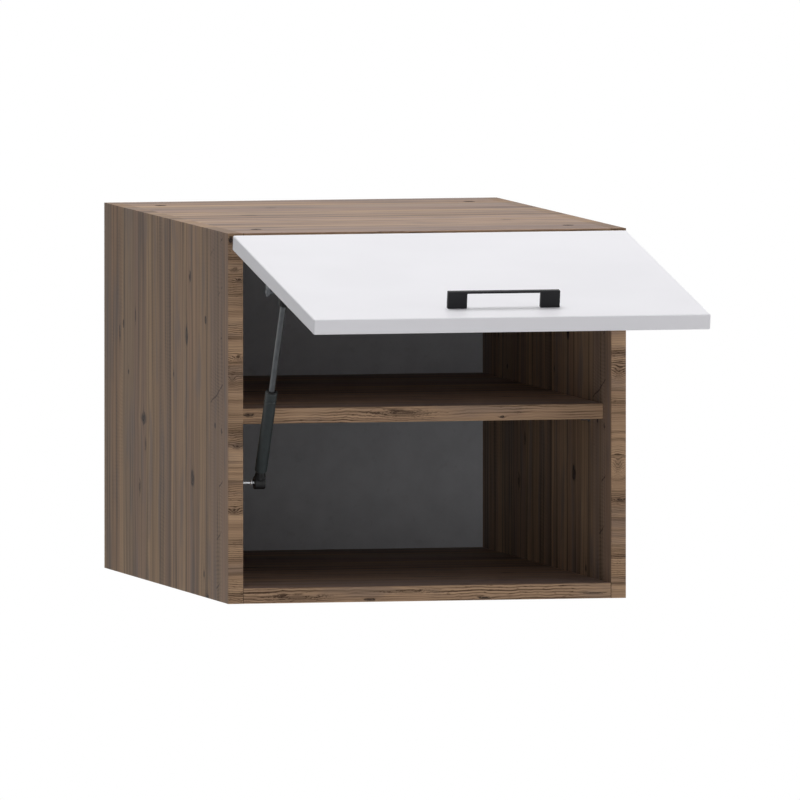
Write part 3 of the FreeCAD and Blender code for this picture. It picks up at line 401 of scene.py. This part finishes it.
def fastener_tree():
    """Screw, nail or cam from its sizes, set on points along their aim and turned at random."""
    tree = bpy.data.node_groups.new("driven_fastener", "GeometryNodeTree")
    tree.interface.new_socket("Geometry", in_out="INPUT", socket_type="NodeSocketGeometry")
    for size in FASTENER_SIZES:
        tree.interface.new_socket(size, in_out="INPUT", socket_type="NodeSocketFloat")
    tree.interface.new_socket("Finish", in_out="INPUT", socket_type="NodeSocketMaterial")
    tree.interface.new_socket("Geometry", in_out="OUTPUT", socket_type="NodeSocketGeometry")
    wire = Wire(tree)
    given = wire.node("NodeGroupInput")
    size = {name: given.other(name) for name in ("Geometry", *FASTENER_SIZES, "Finish")}
    crown_share = 0.8
    shoulder = 0.0
    straight_share = 0.8
    point_share = 0.3

    def raised(form, face, height, share=1.0):
        """Draws the end face on by a height, then widens or narrows it."""
        chosen = {} if face is None else {"Selection": face}
        drawn = wire.node("GeometryNodeExtrudeMesh", Mesh=form, Offset_Scale=height,
                          Individual=False, **chosen)
        top = drawn.other("Top")
        form = wire.node("GeometryNodeScaleElements", Geometry=drawn, Selection=top, Scale=share)
        return form, top

    disc = wire.node("GeometryNodeMeshCircle", {"fill_type": "NGON"}, Vertices=28,
                     Radius=size["Head Radius"] * crown_share)
    form, face = raised(disc, None, size["Crown"], 1.0 / crown_share)
    head, face = raised(form, face, size["Head Height"] - size["Crown"])
    form, face = raised(head, face, shoulder, size["Shank Radius"] / size["Head Radius"])
    form, face = raised(form, face, size["Shank Length"] * straight_share)
    whole, face = raised(form, face, size["Shank Length"] * (1.0 - straight_share), point_share)
    driven = wire.node("GeometryNodeSwitch", {"input_type": "GEOMETRY"},
                       Switch=wire.maths("GREATER_THAN", size["Shank Length"], 0.0), False_=head, True_=whole)
    cap = wire.node("GeometryNodeFlipFaces", Mesh=disc)
    closed = wire.node("GeometryNodeMergeByDistance", Distance=1e-6,
                       Geometry=wire.node("GeometryNodeJoinGeometry", Geometry=[driven, cap]))
    slots = []
    for span, width in (("Recess Span", "Recess Width"), ("Recess Width", "Recess Span")):
        block = wire.node("ShaderNodeCombineXYZ", X=size[span], Y=size[width], Z=size["Recess Depth"] * 2.0)
        slots.append(wire.node("GeometryNodeMeshCube", Size=block))
    cross = wire.node("GeometryNodeMeshBoolean", {"operation": "UNION", "solver": "EXACT"}, Mesh_2=slots)
    cut = wire.node("GeometryNodeMeshBoolean", {"operation": "DIFFERENCE", "solver": "EXACT"},
                    Mesh_1=closed, Mesh_2=[cross])
    piece = wire.node("GeometryNodeSwitch", {"input_type": "GEOMETRY"},
                      Switch=wire.maths("GREATER_THAN", size["Recess Depth"], 0.0), False_=closed, True_=cut)
    aim = wire.node("GeometryNodeInputNamedAttribute", {"data_type": "FLOAT_VECTOR"}, Name="aim")
    lined = wire.node("FunctionNodeAlignRotationToVector", {"axis": "Z"}, Vector=aim)
    spin = wire.node("FunctionNodeRandomValue", {"data_type": "FLOAT"}, 1, Max_001=math.pi, Seed=5)
    turn = wire.node("FunctionNodeAxisAngleToRotation", Axis=(0.0, 0.0, 1.0), Angle=spin)
    stance = wire.node("FunctionNodeRotateRotation", {"rotation_space": "LOCAL"},
                       Rotation=lined, Rotate_By=turn)
    placed = wire.node("GeometryNodeInstanceOnPoints", Points=size["Geometry"],
                       Instance=piece, Rotation=stance)
    made = wire.node("GeometryNodeRealizeInstances", Geometry=placed)
    coated = wire.node("GeometryNodeSetMaterial", Geometry=made, Material=size["Finish"])
    wire.node("NodeGroupOutput", Geometry=coated)
    return tree


def separate_solids(name):
    """The corner points of each separate solid of a CAD node."""
    mesh = frame["nodes"][name].data
    spots = [tuple(round(c, 6) for c in corner.co) for corner in mesh.vertices]
    leader = {spot: spot for spot in spots}

    def first_of(spot):
        while leader[spot] != spot:
            spot = leader[spot]
        return spot

    for face in mesh.polygons:
        start = first_of(spots[face.vertices[0]])
        for corner in face.vertices[1:]:
            leader[first_of(spots[corner])] = start
    solids = {}
    for spot in leader:
        solids.setdefault(first_of(spot), []).append(Vector(spot))
    return list(solids.values())


def head_of(points, aim):
    """The middle of the end where a fastener starts along its aim."""
    across = aim.orthogonal().normalized()
    middle = aim * min(p.dot(aim) for p in points)
    for axis in (across, aim.cross(across)):
        reach = [p.dot(axis) for p in points]
        middle += axis * (min(reach) + max(reach)) / 2
    return middle


def settle(name, mesh, finish, body, slot, *nodes):
    """Makes a finished mesh a piece: smooth with crisp edges, on its body, in place of CAD nodes."""
    mesh.polygons.foreach_set("use_smooth", [True] * len(mesh.polygons))
    mesh.set_sharp_from_angle(angle=math.radians(32))
    if not mesh.materials:
        mesh.materials.append(finish)
    piece = bpy.data.objects.new(name, mesh)
    scene.collection.objects.link(piece)
    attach(piece, body)
    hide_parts(*nodes)


driven_fastener = fastener_tree()


def fasten(node, body, slot, finish, aim_at, head, shank=(0.0, 0.0), recess=(0.0, 0.0, 0.0)):
    """Sets a fastener at each solid of a CAD group, driven the way aim_at says.

    A head has a radius, height and crown, a shank a radius and length, a recess a span, width and depth.
    """
    holder_mesh = bpy.data.meshes.new(node + "_points")
    solids = separate_solids(node)
    aims = [Vector(aim_at(points[0])) for points in solids]
    holder_mesh.from_pydata([head_of(points, aim) for points, aim in zip(solids, aims)], [], [])
    aim_data = holder_mesh.attributes.new("aim", "FLOAT_VECTOR", "POINT")
    aim_data.data.foreach_set("vector", [part for aim in aims for part in aim])
    holder = bpy.data.objects.new(node + "_points", holder_mesh)
    scene.collection.objects.link(holder)
    modifier = holder.modifiers.new("fastener", "NODES")
    modifier.node_group = driven_fastener
    values = dict(zip(FASTENER_SIZES, head + shank + recess), Finish=finish)
    for item in driven_fastener.interface.items_tree:
        if item.name in values:
            modifier[item.identifier] = values[item.name]
    mesh = bpy.data.meshes.new_from_object(holder.evaluated_get(bpy.context.evaluated_depsgraph_get()))
    bpy.data.objects.remove(holder)
    settle(node + "_driven", mesh, finish, body, slot, node)


cam_metal = plated("cam_metal", (36, 28, 25), 0.6, 300.0, 0.0)
cam_metal.node_tree.nodes["Principled BSDF"].inputs["Specular IOR Level"].default_value = 0.05
zinc = plated("zinc_steel", (176, 178, 180), 0.3, 260.0)
fasten("cam_locks", "carcass", "cam_metal", cam_metal, lambda spot: (0, 0, -math.copysign(1, spot.z)),
       head=(0.00625, 0.012, 0.0003), recess=(0.0085, 0.0016, 0.0016))
dress(zinc, "cam_bolts")
beech, wire, shader, place = new_finish("beech")
stretch = wire.node("ShaderNodeMapping", Vector=place, Scale=(60.0, 900.0, 900.0))
flute = wire.node("ShaderNodeTexNoise", Vector=stretch, Scale=1.0, Detail=3.0)
beech_tone = flute.span(0.3, 0.7).blend(colour(214, 180, 140), colour(190, 152, 112))
wire.feed(shader.inputs["Base Color"], beech_tone)
wire.feed(shader.inputs["Roughness"], 0.62 + flute * 0.15)
wire.feed(shader.inputs["Normal"], wire.node("ShaderNodeBump", Strength=0.3, Distance=0.0003, Height=flute))
dress(beech, "corner_dowels")


# Nails of the back sheet: ten flat-headed nails of zinc-plated steel wire.
# They are driven from the rear through the sheet into the boards, until the heads lie flush.
fasten("back_panel_nails", "carcass", "zinc_steel", zinc, lambda spot: (0, -1, 0),
       head=(0.0022, 0.0008, 0.0002), shank=(0.0008, 0.0132))


# Hanging brackets: bent plates of zinc-plated steel in the upper rear corners, holed for the wall hooks.
# Two pan-head screws hold each of them to its side panel.
dress(zinc, "hanging_bracket_left", "hanging_bracket_right")
fasten("hanging_bracket_screws", "carcass", "zinc_steel", zinc, lambda spot: (math.copysign(1, spot.x), 0, 0),
       head=(0.0038, 0.0016, 0.0007), shank=(0.002, 0.011), recess=(0.0046, 0.0008, 0.0009))


# Shelf pins: turned pegs of dark passivated steel, each with a collar.
# They are pushed into bored holes in the sides, and the shelf lies on them.
passivated = plated("passivated_steel", (86, 88, 91), 0.5, 220.0)
dress(passivated, "shelf_pins")


# Hinges, fixed half: nickel-plated mounting plates under the top, with arms clamped on by a screw.
# A riveted pin in the fork of each arm carries the link that reaches out to the cup.
nickel = plated("hinge_steel", (186, 186, 184), 0.22, 180.0)
dress(nickel, "hinge_plate_left", "hinge_plate_right", "hinge_arm_left", "hinge_arm_right",
      "hinge_arm_pins", "hinge_link_left", "hinge_link_right", "hinge_cup_pins")
fasten("hinge_plate_screws", "carcass", "zinc_steel", zinc, lambda spot: (0, 0, 1),
       head=(0.004, 0.0016, 0.0006), shank=(0.0025, 0.012), recess=(0.0048, 0.0008, 0.0009))
fasten("hinge_arm_screws", "carcass", "hinge_steel", nickel, lambda spot: (0, 0, 1),
       head=(0.0034, 0.0016, 0.0006), shank=(0.002, 0.012), recess=(0.0041, 0.0008, 0.0009))


# Hinges, door half: pressed steel cups sunk in the door, each with a flange and two screwed ears.
# They are drawn on the closed door and swung open with it.
joints = {joint["name"]: joint for joint in frame["joints"]}
door_axis = Vector(joints["door_swing"]["pos_m"])
open_angle = math.radians(-joints["door_swing"]["range_deg"][0])
swing = (Matrix.Translation(door_axis) @ Matrix.Rotation(-open_angle, 4, "X")
         @ Matrix.Translation(-door_axis))
into_door = tuple(swing.to_3x3() @ Vector((0, -1, 0)))


def closed_box(name):
    """The lowest and highest corner of a door-mounted CAD node with the door closed."""
    back = swing.inverted()
    spots = [back @ corner.co for corner in frame["nodes"][name].data.vertices]
    low = Vector([min(spot[axis] for spot in spots) for axis in range(3)])
    high = Vector([max(spot[axis] for spot in spots) for axis in range(3)])
    return low, high


def arc(radius, height, bend, start, stop, steps=6):
    """Profile points on an arc about a (radius, height) centre, in degrees."""
    turns = [math.radians(start + (stop - start) * i / steps) for i in range(steps + 1)]
    return [(radius + bend * math.cos(t), height + bend * math.sin(t)) for t in turns]


def turned(name, profile, start, aim, side, segments=48, ring=False):
    """A mesh turned about a line from (radius, height) points; a radius may follow the angle."""
    aim = Vector(aim).normalized()
    side = Vector(side).normalized()
    other = aim.cross(side)
    shape = bmesh.new()
    rows = []
    for radius, height in profile:
        if radius == 0:
            rows.append([shape.verts.new(start + aim * height)])
            continue
        row = []
        for step in range(segments):
            angle = math.tau * step / segments
            out = radius(angle) if callable(radius) else radius
            spot = start + aim * height + (side * math.cos(angle) + other * math.sin(angle)) * out
            row.append(shape.verts.new(spot))
        rows.append(row)
    pairs = list(zip(rows, rows[1:])) + ([(rows[-1], rows[0])] if ring else [])
    for low, high in pairs:
        for step in range(segments):
            after = (step + 1) % segments
            corners = [low[step % len(low)], low[after % len(low)]]
            corners += [high[after % len(high)], high[step % len(high)]]
            shape.faces.new(list(dict.fromkeys(corners)))
    bmesh.ops.recalc_face_normals(shape, faces=shape.faces)
    mesh = bpy.data.meshes.new(name)
    shape.to_mesh(mesh)
    shape.free()
    return mesh


cup_inner = 0.0162
cup_outer = 0.0174
cup_rim = 0.0184
cup_thick = 0.001
cup_floor_bend = 0.002
cup_mouth_bend = 0.0006
cup_base_bend = 0.0025
flange_ease = 0.0004
ear_half = 0.0225
ear_drop = 0.0095
ear_radius = 0.006


def flange_edge(angle):
    """How far the flange reaches: a round rim with an ear to each side below the middle."""
    way = Vector((math.cos(angle), math.sin(angle)))
    reach = cup_rim
    end = Vector((math.copysign(ear_half, way.x), ear_drop))
    past = ear_radius ** 2 - (end - way * way.dot(end)).length_squared
    if past > 0:
        reach = max(reach, way.dot(end) + math.sqrt(past))
    if way.y > 0:
        low_edge = (ear_drop + ear_radius) / way.y
        if abs(way.x * low_edge) < ear_half:
            reach = max(reach, low_edge)
    return reach


for word in ("left", "right"):
    low, high = closed_box(f"hinge_cup_{word}")
    depth = high.y - cup_thick - low.y
    mouth = Vector(((low.x + high.x) / 2, high.y - cup_thick, (low.z + high.z) / 2))
    profile = [(0, cup_thick - depth)]
    profile += arc(cup_inner - cup_floor_bend, cup_thick - depth + cup_floor_bend, cup_floor_bend, -90, 0)
    profile += arc(cup_inner + cup_mouth_bend, cup_thick - cup_mouth_bend, cup_mouth_bend, 180, 90)
    profile += [(lambda angle: flange_edge(angle) - flange_ease, cup_thick)]
    profile += [(flange_edge, cup_thick - flange_ease), (flange_edge, 0.0), (cup_outer, 0.0)]
    profile += arc(cup_outer - cup_base_bend, cup_base_bend - depth, cup_base_bend, 0, -90)
    profile += [(0, -depth)]
    cup = turned(f"hinge_cup_{word}", profile, mouth, (0, 1, 0), (1, 0, 0), 192)
    cup.transform(swing)
    settle(f"cup_shell_{word}", cup, nickel, "door", "hinge_steel", f"hinge_cup_{word}")
fasten("hinge_cup_screws", "door", "hinge_steel", nickel, lambda spot: into_door,
       head=(0.00315, 0.0016, 0.0007), shank=(0.00175, 0.011), recess=(0.0038, 0.0008, 0.0009))


# Flap door: white-faced board with banded edges, hinged at the top on the two cup hinges.
# The face has the faint pearl texture of a pressed melamine sheet.
door_white, wire, shader, place = new_finish("door_white")
pearl = wire.node("ShaderNodeTexNoise", Vector=place, Scale=1400.0, Detail=2.0)
cast = wire.node("ShaderNodeTexNoise", Vector=place, Scale=9.0, Detail=2.0)
white_tone = cast.span(0.3, 0.7).blend(colour(239, 238, 242), colour(242, 241, 245))
wear = rubbed(wire, place, 0.001)
wire.feed(shader.inputs["Base Color"], (wear * 0.4).blend(white_tone, colour(222, 220, 220)))
wire.feed(shader.inputs["Roughness"], 0.42 + pearl * 0.1 + wear * 0.1)
wire.feed(shader.inputs["Normal"], wire.node("ShaderNodeBump", Strength=0.05, Distance=0.0001, Height=pearl))
dress(door_white, "door_panel")


# Handle: a flat bridge of black anodised aluminium with eased edges, on two broad legs.
# It is held by two screws that pass through the door from the inside.
handle_black, wire, shader, place = new_finish("handle_black")
satin = wire.node("ShaderNodeTexNoise", Vector=place, Scale=1600.0, Detail=2.0)
black_tone = satin.span(0.3, 0.7).blend(colour(14, 14, 17), colour(22, 22, 25))
wear = rubbed(wire, place, 0.0009)
wire.feed(shader.inputs["Base Color"], (wear * 0.6).blend(black_tone, colour(66, 67, 72)))
wire.feed(shader.inputs["Roughness"], 0.5 + satin * 0.15 - wear * 0.12)
wire.feed(shader.inputs["Normal"], wire.node("ShaderNodeBump", Strength=0.08, Distance=0.0001, Height=satin))
shader.inputs["Specular IOR Level"].default_value = 0.2
handle_leg = 0.019
handle_bar = 0.0022
handle_ease = 0.0007
low, high = closed_box("handle")
bridge = [(low.x, high.y), (low.x, low.y), (high.x, low.y), (high.x, high.y)]
bridge += [(high.x - handle_leg, high.y), (high.x - handle_leg, low.y + handle_bar)]
bridge += [(low.x + handle_leg, low.y + handle_bar), (low.x + handle_leg, high.y)]
shape = bmesh.new()
outline = shape.faces.new([shape.verts.new((x, y, low.z)) for x, y in bridge])
drawn = bmesh.ops.extrude_face_region(shape, geom=[outline], use_keep_orig=True)
bmesh.ops.translate(shape, vec=(0, 0, high.z - low.z),
                    verts=[part for part in drawn["geom"] if isinstance(part, bmesh.types.BMVert)])
bmesh.ops.recalc_face_normals(shape, faces=shape.faces)
free = [edge for edge in shape.edges if min(corner.co.y for corner in edge.verts) < high.y - handle_ease]
bmesh.ops.bevel(shape, geom=free, offset=handle_ease, segments=3, profile=0.5, affect="EDGES",
                clamp_overlap=True)
handle_mesh = bpy.data.meshes.new("handle_bridge")
shape.to_mesh(handle_mesh)
shape.free()
handle_mesh.transform(swing)
settle("handle_bridge", handle_mesh, handle_black, "door", "handle_black", "handle")
fasten("handle_screws", "door", "zinc_steel", zinc, lambda spot: into_door,
       head=(0.0038, 0.0016, 0.0007), shank=(0.002, 0.024), recess=(0.0046, 0.0008, 0.0009))


# Strut bracket: a pressed foot and tab on the inside of the door, with a riveted stud.
# Foot, tab and stud are dark passivated steel, and two screws hold the foot.
dress(passivated, "strut_door_bracket")
fasten("strut_bracket_screws", "door", "zinc_steel", zinc, lambda spot: into_door,
       head=(0.00315, 0.0016, 0.0007), shank=(0.00175, 0.011), recess=(0.0038, 0.0008, 0.0009))
low, high = closed_box("strut_door_stud")
rivet_head = 0.0008
rivet_radius = 0.0032
stem_radius = 0.002
tab_thick = 0.002
collar_radius = 0.0034
collar_ease = 0.0004
collar_edge = tab_thick + 0.0015
collar_end = tab_thick + 0.0022
stud_start = Vector((low.x + rivet_head, (low.y + high.y) / 2, (low.z + high.z) / 2))
stud_end = high.x - stud_start.x
profile = [(0, -rivet_head), (rivet_radius - 0.0006, -rivet_head), (rivet_radius, -0.0003)]
profile += [(rivet_radius, 0), (stem_radius, 0), (stem_radius, tab_thick), (collar_radius, tab_thick)]
profile += [(collar_radius, collar_edge), (collar_radius - collar_ease, collar_end - 0.0002)]
profile += [(stem_radius, collar_end), (stem_radius, stud_end), (0, stud_end)]
door_stud = turned("door_stud", profile, stud_start, (1, 0, 0), (0, 1, 0))
door_stud.transform(swing)
settle("door_stud", door_stud, passivated, "door", "zinc_steel", "strut_door_stud")


# Side stud: a zinc-plated steel stud with a slim shank, which ends in the ball of the lower socket.
# It screws into the left side panel up to its flat seat.
ball = Vector(joints["strut_turn"]["pos_m"])
ball_radius = 0.004
screw_length = 0.011
screw_radius = 0.0025
seat_radius = 0.005
seat_thick = 0.0013
shank_radius = 0.0013
neck_ring = 0.0128
neck_ring_bend = 0.0014
seat_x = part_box("side_panel_left")[1].x
ball_reach = ball.x - seat_x
profile = [(0, -screw_length), (screw_radius - 0.0004, -screw_length), (screw_radius, 0.0006 - screw_length)]
profile += [(screw_radius, 0), (seat_radius, 0), (seat_radius, seat_thick), (seat_radius - 0.0006, 0.002)]
profile += [(shank_radius, 0.0024), (shank_radius, neck_ring - 0.0016)]
profile += arc(shank_radius - 0.0001, neck_ring, neck_ring_bend, -80, 80)
profile += arc(0, ball_reach, ball_radius, -66, 90, 14)[:-1] + [(0, ball_reach + ball_radius)]
side_stud = turned("side_stud", profile, Vector((seat_x, ball.y, ball.z)), (1, 0, 0), (0, 1, 0))
settle("side_stud", side_stud, zinc, "carcass", "zinc_steel", "strut_side_stud")


# Strut sockets: black nylon, moulded with a ball eye and a fluted neck that screws onto the strut.
# Each snaps over its stud, and the piston inside the tube is moulded of the same nylon.
strut_way = Vector(joints["strut_extend"]["axis"]).normalized()
strut_side = (1, 0, 0)


def along_strut(name):
    """Where a CAD node starts and ends along the strut, measured from the lower ball."""
    heights = [(corner.co - ball).dot(strut_way) for corner in frame["nodes"][name].data.vertices]
    return min(heights), max(heights)


nylon, wire, shader, place = new_finish("strut_plastic")
spark = wire.node("ShaderNodeTexNoise", Vector=place, Scale=1100.0, Detail=2.0)
moulded = spark.span(0.3, 0.7).blend(colour(5, 5, 6), colour(11, 11, 12))
wear = rubbed(wire, place, 0.0006)
wire.feed(shader.inputs["Base Color"], (wear * 0.5).blend(moulded, colour(40, 40, 42)))
wire.feed(shader.inputs["Roughness"], 0.42 + spark * 0.16 - wear * 0.1)
shader.inputs["Specular IOR Level"].default_value = 0.25
wire.feed(shader.inputs["Normal"], wire.node("ShaderNodeBump", Strength=0.1, Distance=0.0001, Height=spark))
dress(nylon, "strut_piston")
eye_radius = 0.0065
eye_half = 0.0055
eye_ease = 0.0012
bore_radius = ball_radius + 0.0001
bore_depth = 0.0098
lip_radius = 0.0031
dimple_radius = 0.0031
dimple_depth = 0.0004
neck_foot = 0.0055
neck_tip = 0.0047
flute_depth = 0.0005
flute_count = 8


def fluted(radius):
    """A neck radius with shallow flutes."""
    return lambda angle: radius - flute_depth * max(0.0, math.cos(flute_count * angle)) ** 2


def ball_socket(name, centre, way, length, body, node):
    """A ball eye, open towards the stud, with a tapered and fluted neck."""
    eye_top = eye_half * 2
    profile = [(0, bore_depth), (bore_radius, bore_depth), (bore_radius, 0.0014)]
    profile += [(lip_radius, 0.0006), (lip_radius + 0.0003, 0.0)]
    profile += arc(eye_radius - eye_ease, eye_ease, eye_ease, -90, 0)
    profile += arc(eye_radius - eye_ease, eye_top - eye_ease, eye_ease, 0, 90)
    profile += [(dimple_radius + 0.0005, eye_top), (dimple_radius, eye_top - dimple_depth)]
    profile += [(0, eye_top - dimple_depth)]
    eye = turned(name + "_eye", profile, centre - Vector((eye_half, 0, 0)), (1, 0, 0), (0, 1, 0))
    root = ball_radius + 0.0003
    neck_profile = [(0, root), (neck_foot - 0.0009, root), (neck_foot, root + 0.0018)]
    neck_profile += [(fluted(neck_foot), root + 0.0026), (fluted(neck_tip), length - 0.0012)]
    neck_profile += [(neck_tip - 0.0001, length - 0.0006), (neck_tip - 0.0004, length), (0, length)]
    neck = turned(name + "_neck", neck_profile, centre, way, strut_side, 96)
    pieces = [bpy.data.objects.new(mesh.name, mesh) for mesh in (eye, neck)]
    for piece in pieces:
        scene.collection.objects.link(piece)
    weld = pieces[0].modifiers.new("weld", "BOOLEAN")
    weld.operation = "UNION"
    weld.solver = "EXACT"
    weld.object = pieces[1]
    mesh = bpy.data.meshes.new_from_object(pieces[0].evaluated_get(bpy.context.evaluated_depsgraph_get()))
    mesh.materials.clear()
    for piece in pieces:
        bpy.data.objects.remove(piece)
    settle(name, mesh, nylon, body, "strut_plastic", node)


neck_top = along_strut("strut_lower_socket")[1]
ball_socket("lower_socket", ball, strut_way, neck_top, "strut_cylinder", "strut_lower_socket")
upper_low, upper_high = along_strut("strut_upper_socket")
upper_ball = upper_high - eye_radius
ball_socket("upper_socket", ball + strut_way * upper_ball, -strut_way, upper_ball - upper_low,
            "strut_rod", "strut_upper_socket")


# Strut tube and gland: a steel tube painted slate grey, with a bead rolled in below its open end.
# The bead holds a moulded gland, which guides and seals the rod.
strut_slate, wire, shader, place = new_finish("strut_slate")
peel = wire.node("ShaderNodeTexNoise", Vector=place, Scale=900.0, Detail=2.0)
scuff = wire.node("ShaderNodeTexNoise", Vector=place, Scale=120.0, Detail=4.0)
paint = (peel * 0.5 + scuff * 0.5).span(0.3, 0.7).blend(colour(27, 33, 34), colour(37, 44, 45))
wear = rubbed(wire, place, 0.0007)
wire.feed(shader.inputs["Base Color"], (wear * 0.6).blend(paint, colour(92, 98, 99)))
wire.feed(shader.inputs["Roughness"], 0.34 + peel * 0.1 + scuff * 0.08 - wear * 0.08)
wire.feed(shader.inputs["Normal"], wire.node("ShaderNodeBump", Strength=0.06, Distance=0.0001, Height=peel))
shader.inputs["Specular IOR Level"].default_value = 0.35
tube_radius = 0.006
tube_bore = 0.005
tube_shoulder = 0.0022
tube_floor = 0.003
tube_lip = 0.001
bead_half = 0.0012
bead_from_top = 0.0098
tube_top = along_strut("strut_cylinder")[1]
bead = tube_top - bead_from_top
profile = [(0, neck_top), (tube_radius - 0.0016, neck_top)]
profile += arc(tube_radius - tube_shoulder, neck_top + tube_shoulder, tube_shoulder, -70, 0)
profile += [(tube_radius, bead - bead_half)]
profile += arc(tube_radius + bead_half / 2, bead, bead_half, 240, 120, 8)
profile += [(tube_radius, bead + bead_half)]
profile += arc(tube_radius - tube_lip, tube_top - tube_lip, tube_lip, 0, 90)
profile += [(tube_bore, tube_top), (tube_bore, neck_top + tube_floor), (0, neck_top + tube_floor)]
tube = turned("strut_tube", profile, ball, strut_way, strut_side, 64)
settle("strut_tube", tube, strut_slate, "strut_cylinder", "strut_slate", "strut_cylinder")
rod_radius = 0.003
gland_bore = rod_radius + 0.0001
gland_ease = 0.0006
gland_low, gland_top = along_strut("strut_gland")
profile = [(gland_bore, gland_low), (tube_bore, gland_low), (tube_bore, tube_top)]
profile += arc(tube_bore - 0.0008, gland_top - gland_ease, gland_ease, 0, 90, 4)
profile += [(gland_bore + 0.0004, gland_top), (gland_bore, gland_top - 0.0004)]
gland = turned("strut_seal", profile, ball, strut_way, strut_side, ring=True)
settle("strut_seal", gland, nylon, "strut_cylinder", "strut_plastic", "strut_gland")


# Strut rod: dark nitrided steel, ground smooth, that slides in the tube through the gland.
# Its lower end is turned down for the piston, and its upper end is threaded into the socket.
rod_steel = plated("strut_rod_steel", (82, 84, 86), 0.26, 240.0)
rod_low, rod_high = along_strut("strut_rod")
rod_ease = 0.0004
piston_length = 0.004
thread_radius = 0.002
tail_radius = 0.0018
profile = [(0, rod_low), (tail_radius, rod_low), (tail_radius, rod_low + piston_length)]
profile += [(rod_radius, rod_low + piston_length), (rod_radius, upper_low - rod_ease)]
profile += [(rod_radius - rod_ease, upper_low), (thread_radius, upper_low)]
profile += [(thread_radius, rod_high - rod_ease), (thread_radius - rod_ease, rod_high), (0, rod_high)]
rod = turned("strut_slide", profile, ball, strut_way, strut_side)
settle("strut_slide", rod, rod_steel, "strut_rod", "strut_rod_steel", "strut_rod")


# Studio: a pale floor well below the hanging cabinet and four soft lamps.
# The world is white where it is seen, mirrored or looked through to, and a dim grey to everything else.
floor_mesh = bpy.data.meshes.new("floor")
shape = bmesh.new()
bmesh.ops.create_circle(shape, cap_ends=True, segments=96, radius=2.6)
bmesh.ops.translate(shape, verts=shape.verts, vec=(0.0, -0.4, -1.9))
shape.to_mesh(floor_mesh)
shape.free()
floor = bpy.data.objects.new("floor", floor_mesh)
scene.collection.objects.link(floor)
floor_finish, wire, shader, place = new_finish("pale_floor")
shader.inputs["Base Color"].default_value = (0.9, 0.9, 0.9, 1.0)
shader.inputs["Roughness"].default_value = 0.9
floor_mesh.materials.append(floor_finish)


def soft_lamp(name, spot, aim, size, power):
    """A square lamp at a spot, turned to a point."""
    lamp = bpy.data.lights.new(name, "AREA")
    lamp.size = size
    lamp.energy = power
    holder = bpy.data.objects.new(name, lamp)
    holder.location = spot
    holder.rotation_euler = (Vector(aim) - Vector(spot)).to_track_quat("-Z", "Y").to_euler()
    scene.collection.objects.link(holder)


middle = (0.0, -0.4, 0.0)
front_middle = (0.0, -0.55, -0.05)
soft_lamp("top_lamp", (-0.2, -0.1, 4.2), middle, 3.6, 157.0)
soft_lamp("left_lamp", (-2.8, -0.1, 0.3), middle, 1.6, 4.0)
soft_lamp("right_lamp", (5.2, -3.0, 0.1), front_middle, 2.4, 112.0)
soft_lamp("front_lamp", (-1.2, -4.6, -0.7), front_middle, 3.0, 52.0)
dim_grey = (0.11, 0.11, 0.115, 1.0)
white = (1.0, 1.0, 1.0, 1.0)
world = bpy.data.worlds.new("studio")
scene.world = world
world.use_nodes = True
wire = Wire(world.node_tree)
ray = wire.node("ShaderNodeLightPath")
shown = wire.maths("MAXIMUM", ray.other("Is Camera Ray"), ray.other("Is Glossy Ray"))
shown = wire.maths("MAXIMUM", shown, ray.other("Is Transmission Ray"))
backdrop = world.node_tree.nodes["Background"]
wire.feed(backdrop.inputs["Color"], shown.blend(dim_grey, white))
backdrop.inputs["Strength"].default_value = 1.0
scene.view_settings.view_transform = "Standard"


# Camera: a very long lens from the front left, a little above the cabinet.
# It is so long that parallel edges stay nearly parallel, as they do in the photograph.
sensor = 36.0
lens_half = math.radians(0.62)
view_width = 0.78297
turn = math.radians(-13.133)
rise = math.radians(3.536)
target = Vector((-0.02755, -0.552, 0.01608))
distance = view_width / 2 / math.tan(lens_half)
camera_data = bpy.data.cameras.new("camera")
camera_data.sensor_width = sensor
camera_data.lens = sensor / 2 / math.tan(lens_half)
camera_data.clip_end = 500.0
camera = bpy.data.objects.new("camera", camera_data)
back = Vector((math.sin(turn) * math.cos(rise), -math.cos(turn) * math.cos(rise), math.sin(rise)))
camera.location = target + back * distance
camera.rotation_euler = (-back).to_track_quat("-Z", "Y").to_euler()
scene.collection.objects.link(camera)
scene.camera = camera
